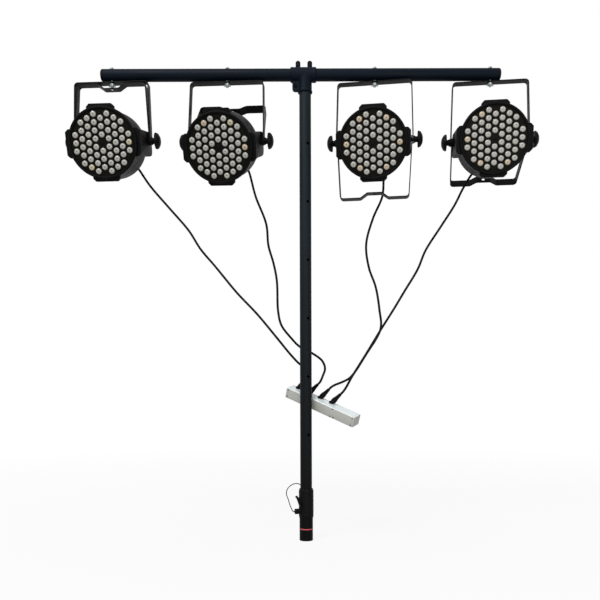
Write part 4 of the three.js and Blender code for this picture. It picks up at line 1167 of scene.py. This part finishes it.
# Half of each yoke, from its pivot up; the other half mirrors it.
yokeRows = {
    "hangingYoke": {"corners": [(113.4, -12.5), (113.4, 16, 40), (109.5, 175.1, 10)], "hole": boltHole,
                    "holeAt": 175},
    "floorYoke": {"corners": [(109.9, -12.5), (109.9, 16, 40), (101.5, 170.5, 10), (41.5, 170.5, 8), (21.5, 156, 8)],
                  "hole": 5, "holeAt": 156},
}


def yokeMesh(name, corners, hole, holeAt):
    bm, cutters = bmesh.new(), bmesh.new()
    ribbon(bm, corners + [(-x, *rest) for x, *rest in reversed(corners)], yoke["width"], yoke["thickness"])
    rod(cutters, hole, holeAt - 8, holeAt + 8, sides=32)
    for side in (-1, 1):
        rod(cutters, boltHole, 100, 125, turnBy(90 * side, "Y"), 28)
    return carve(makeMesh(name, bm, ["strapSteel"]), cutters)


def knobMesh():
    bm = bmesh.new()
    lathe(bm, [(0, 88.4), (4, 88.4, 0.5), (4, 115.3), (11, 115.3, 0.5), (11, 118, 1), (8.8, 119.6, 2),
               (8.3, 125.5, 2.5), (12, 128.6, 4), (18, 128.4, 6), (23, 126.4, 0.8), (24.5, 129.5, 2.2),
               (21.5, 135.5, 6), (12.5, 140.6, 9), (6.2, 142, 0.6), (5.4, 141.2, 0.4), (0, 141.2)],
          alongX, 96, lobes=(10, 1.1, 20), steps=5)
    return makeMesh("knob", bm, ["moulded"])


thread = {"count": 9, "pitch": 1.1, "root": 3.6, "crest": 4.05}


def boltMesh():
    bm = bmesh.new()
    seat, under = 18.3, 25.9
    lathe(bm, [(0, seat + 6), (3.9, seat + 5.1, 2), (6.5, seat + 1.8, 1.5), (6.5, seat, 0.2), (4, seat),
               (4, -under - 10.2, 0.2), (3.2, -under - 11), (0, -under - 11)], here, 40)
    root, crest, pitch = thread["root"], thread["crest"], thread["pitch"]
    for i in range(thread["count"]):
        level = -under - 10 + i * pitch
        lathe(bm, [(root, level), (crest, level + 0.4), (crest, level + 0.7), (root, level + pitch)], sides=24)
    block, cutters = bmesh.new(), bmesh.new()
    prism(block, roundedBox(-12, -22.3, 12, -12.6, 0.8), -7, 7, turnBy(90, "Z") @ forward, 0.8)
    rod(cutters, seat, -20, 20, alongX, 96)
    washer = carve(makeMesh("washer", block, ["zinc"]), cutters)
    bmesh.ops.transform(bm, matrix=Matrix.Scale(mm, 4), verts=bm.verts)
    bm.from_mesh(washer)
    bmesh.ops.transform(bm, matrix=Matrix.Scale(1 / mm, 4), verts=bm.verts)
    lathe(bm, [(4, -under), (8.4, -under, 0.6), (7.2, -under - 5, 2), (5.8, -under - 8.2, 0.8),
               (4, -under - 8.2)], here, 36, closed=True)
    wing = [(2.5, -1.5, 0.5), (6.5, -2.2, 2), (10.2, -5.2, 2.2), (10.5, -8.6, 1.4), (8.2, -9.2, 1.4), (5, -7, 1.5),
            (2.5, -6.6, 0.5)]
    for side in (-1, 1):
        outline = rounded([(side * x, z - under, edge) for x, z, edge in wing], closed=True)
        prism(bm, outline, -1.8, 1.8, forward, 0.7)
    return makeMesh("bolt", bm, ["zinc"])


def makeLamps():
    housing, bezelRim, plate, knob, bolt = housingMesh(), bezelMesh(), plateMesh(), knobMesh(), boltMesh()
    hanging, floorYoke = (yokeMesh(name, **row) for name, row in yokeRows.items())
    print("lamp shapes made")
    for i, row in lampRows.items():
        lamp, head = f"lamp_{i}_", row["head"]
        lenses = lensMesh("lenses", row["amber"], row["straw"])
        for name, mesh, at, body, slot, node in (
            ("Housing", housing, head, lamp + "head", "black_shell", "housing"),
            ("Bezel", bezelRim, head, lamp + "head", "black_shell", "bezel"),
            ("Plate", plate, head, lamp + "head", "lens_plate", "lens_plate"),
            ("Lenses", lenses, head, lamp + "head", "lens_plate", "lens_plate"),
            ("HangingYoke", hanging, row["pan"], lamp + "yoke", "black_steel", "hanging_yoke"),
            ("FloorYoke", floorYoke, row["floor"], lamp + "floor_bracket", "black_steel", "floor_yoke"),
            ("KnobLeft", knob, head @ turnBy(180, "Z"), lamp + "knob_left", "black_plastic", "knob_left"),
            ("KnobRight", knob, head, lamp + "knob_right", "black_plastic", "knob_right"),
            ("Bolt", bolt, row["hanger"], "mast", "zinc", "hanger_bolt"),
        ):
            dress(place(f"lamp{i}{name}", mesh, at), body, slot, lamp + node)


makeLamps()
print("lamps made")


# Floor, world and lights. The places of the lights are in metres.

stage = {"size": 40000, "level": -0.6, "grey": 0.45, "white": 0.86, "far": (0.3, 5), "glow": (1.05, 1.15)}
worldGlow = {"onObject": 0.3, "seen": 1.0}
lights = {
    "key": {"at": (-1.5, -2.6, 3.9), "size": 1.6, "power": 150},
    "fill": {"at": (0.8, -3.4, 0.9), "size": 2.0, "power": 42},
}
lightTarget = Vector((0, 0, 1.0))


def whiteRays(tree):
    # The camera's rays and reflections find a white background.
    rays = addNode(tree, "ShaderNodeLightPath").outputs
    return rays, combine(tree, "MAXIMUM", rays["Is Camera Ray"], rays["Is Glossy Ray"])


def makeStage():
    bm = bmesh.new()
    bmesh.ops.create_grid(bm, x_segments=1, y_segments=1, size=stage["size"])
    floor = place("floor", makeMesh("floor", bm, []), moveBy(0, 0, stage["level"]))
    material, tree = newMaterial("floor")
    tree.nodes.remove(tree.nodes["Principled BSDF"])
    matt = addNode(tree, "ShaderNodeBsdfDiffuse", {"Color": (*[stage["grey"]] * 3, 1)})
    where = addNode(tree, "ShaderNodeTexCoord").outputs["Object"]
    away = addNode(tree, "ShaderNodeVectorMath", {0: where}, operation="LENGTH").outputs["Value"]
    glow = ramp(tree, away, *stage["far"], *stage["glow"])
    white = addNode(tree, "ShaderNodeEmission", {"Color": (1, 1, 1, 1), "Strength": glow})
    share = combine(tree, "MULTIPLY", whiteRays(tree)[1], stage["white"])
    mix = addNode(tree, "ShaderNodeMixShader", {0: share, 1: matt.outputs[0], 2: white.outputs[0]})
    tree.links.new(mix.outputs[0], tree.nodes["Material Output"].inputs["Surface"])
    floor.data.materials.append(material)
    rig.stage(floor)


def makeWorld():
    world = bpy.data.worlds.new("studio")
    scene.world = world
    world.use_nodes = True
    tree = world.node_tree
    rays, seen = whiteRays(tree)
    clear = combine(tree, "MAXIMUM", seen, rays["Is Transmission Ray"])
    strength = ramp(tree, clear, 0, 1, worldGlow["onObject"], worldGlow["seen"])
    setInputs(tree, tree.nodes["Background"], {"Color": (1, 1, 1, 1), "Strength": strength})


def makeLight(name, at, size, power):
    data = bpy.data.lights.new(name, "AREA")
    data.energy = power
    data.size = size
    light = bpy.data.objects.new(name, data)
    light.location = at
    light.rotation_euler = (lightTarget - Vector(at)).to_track_quat("-Z", "Y").to_euler()
    scene.collection.objects.link(light)


makeStage()
makeWorld()
for name, row in lights.items():
    makeLight(name, **row)
scene.view_settings.view_transform = "Standard"
print("stage made")

low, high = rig.bounds()
with open("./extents.json", "w") as sizes:
    json.dump({"cad": [list(corner) for corner in cadBox], "visual": [list(low), list(high)]}, sizes)
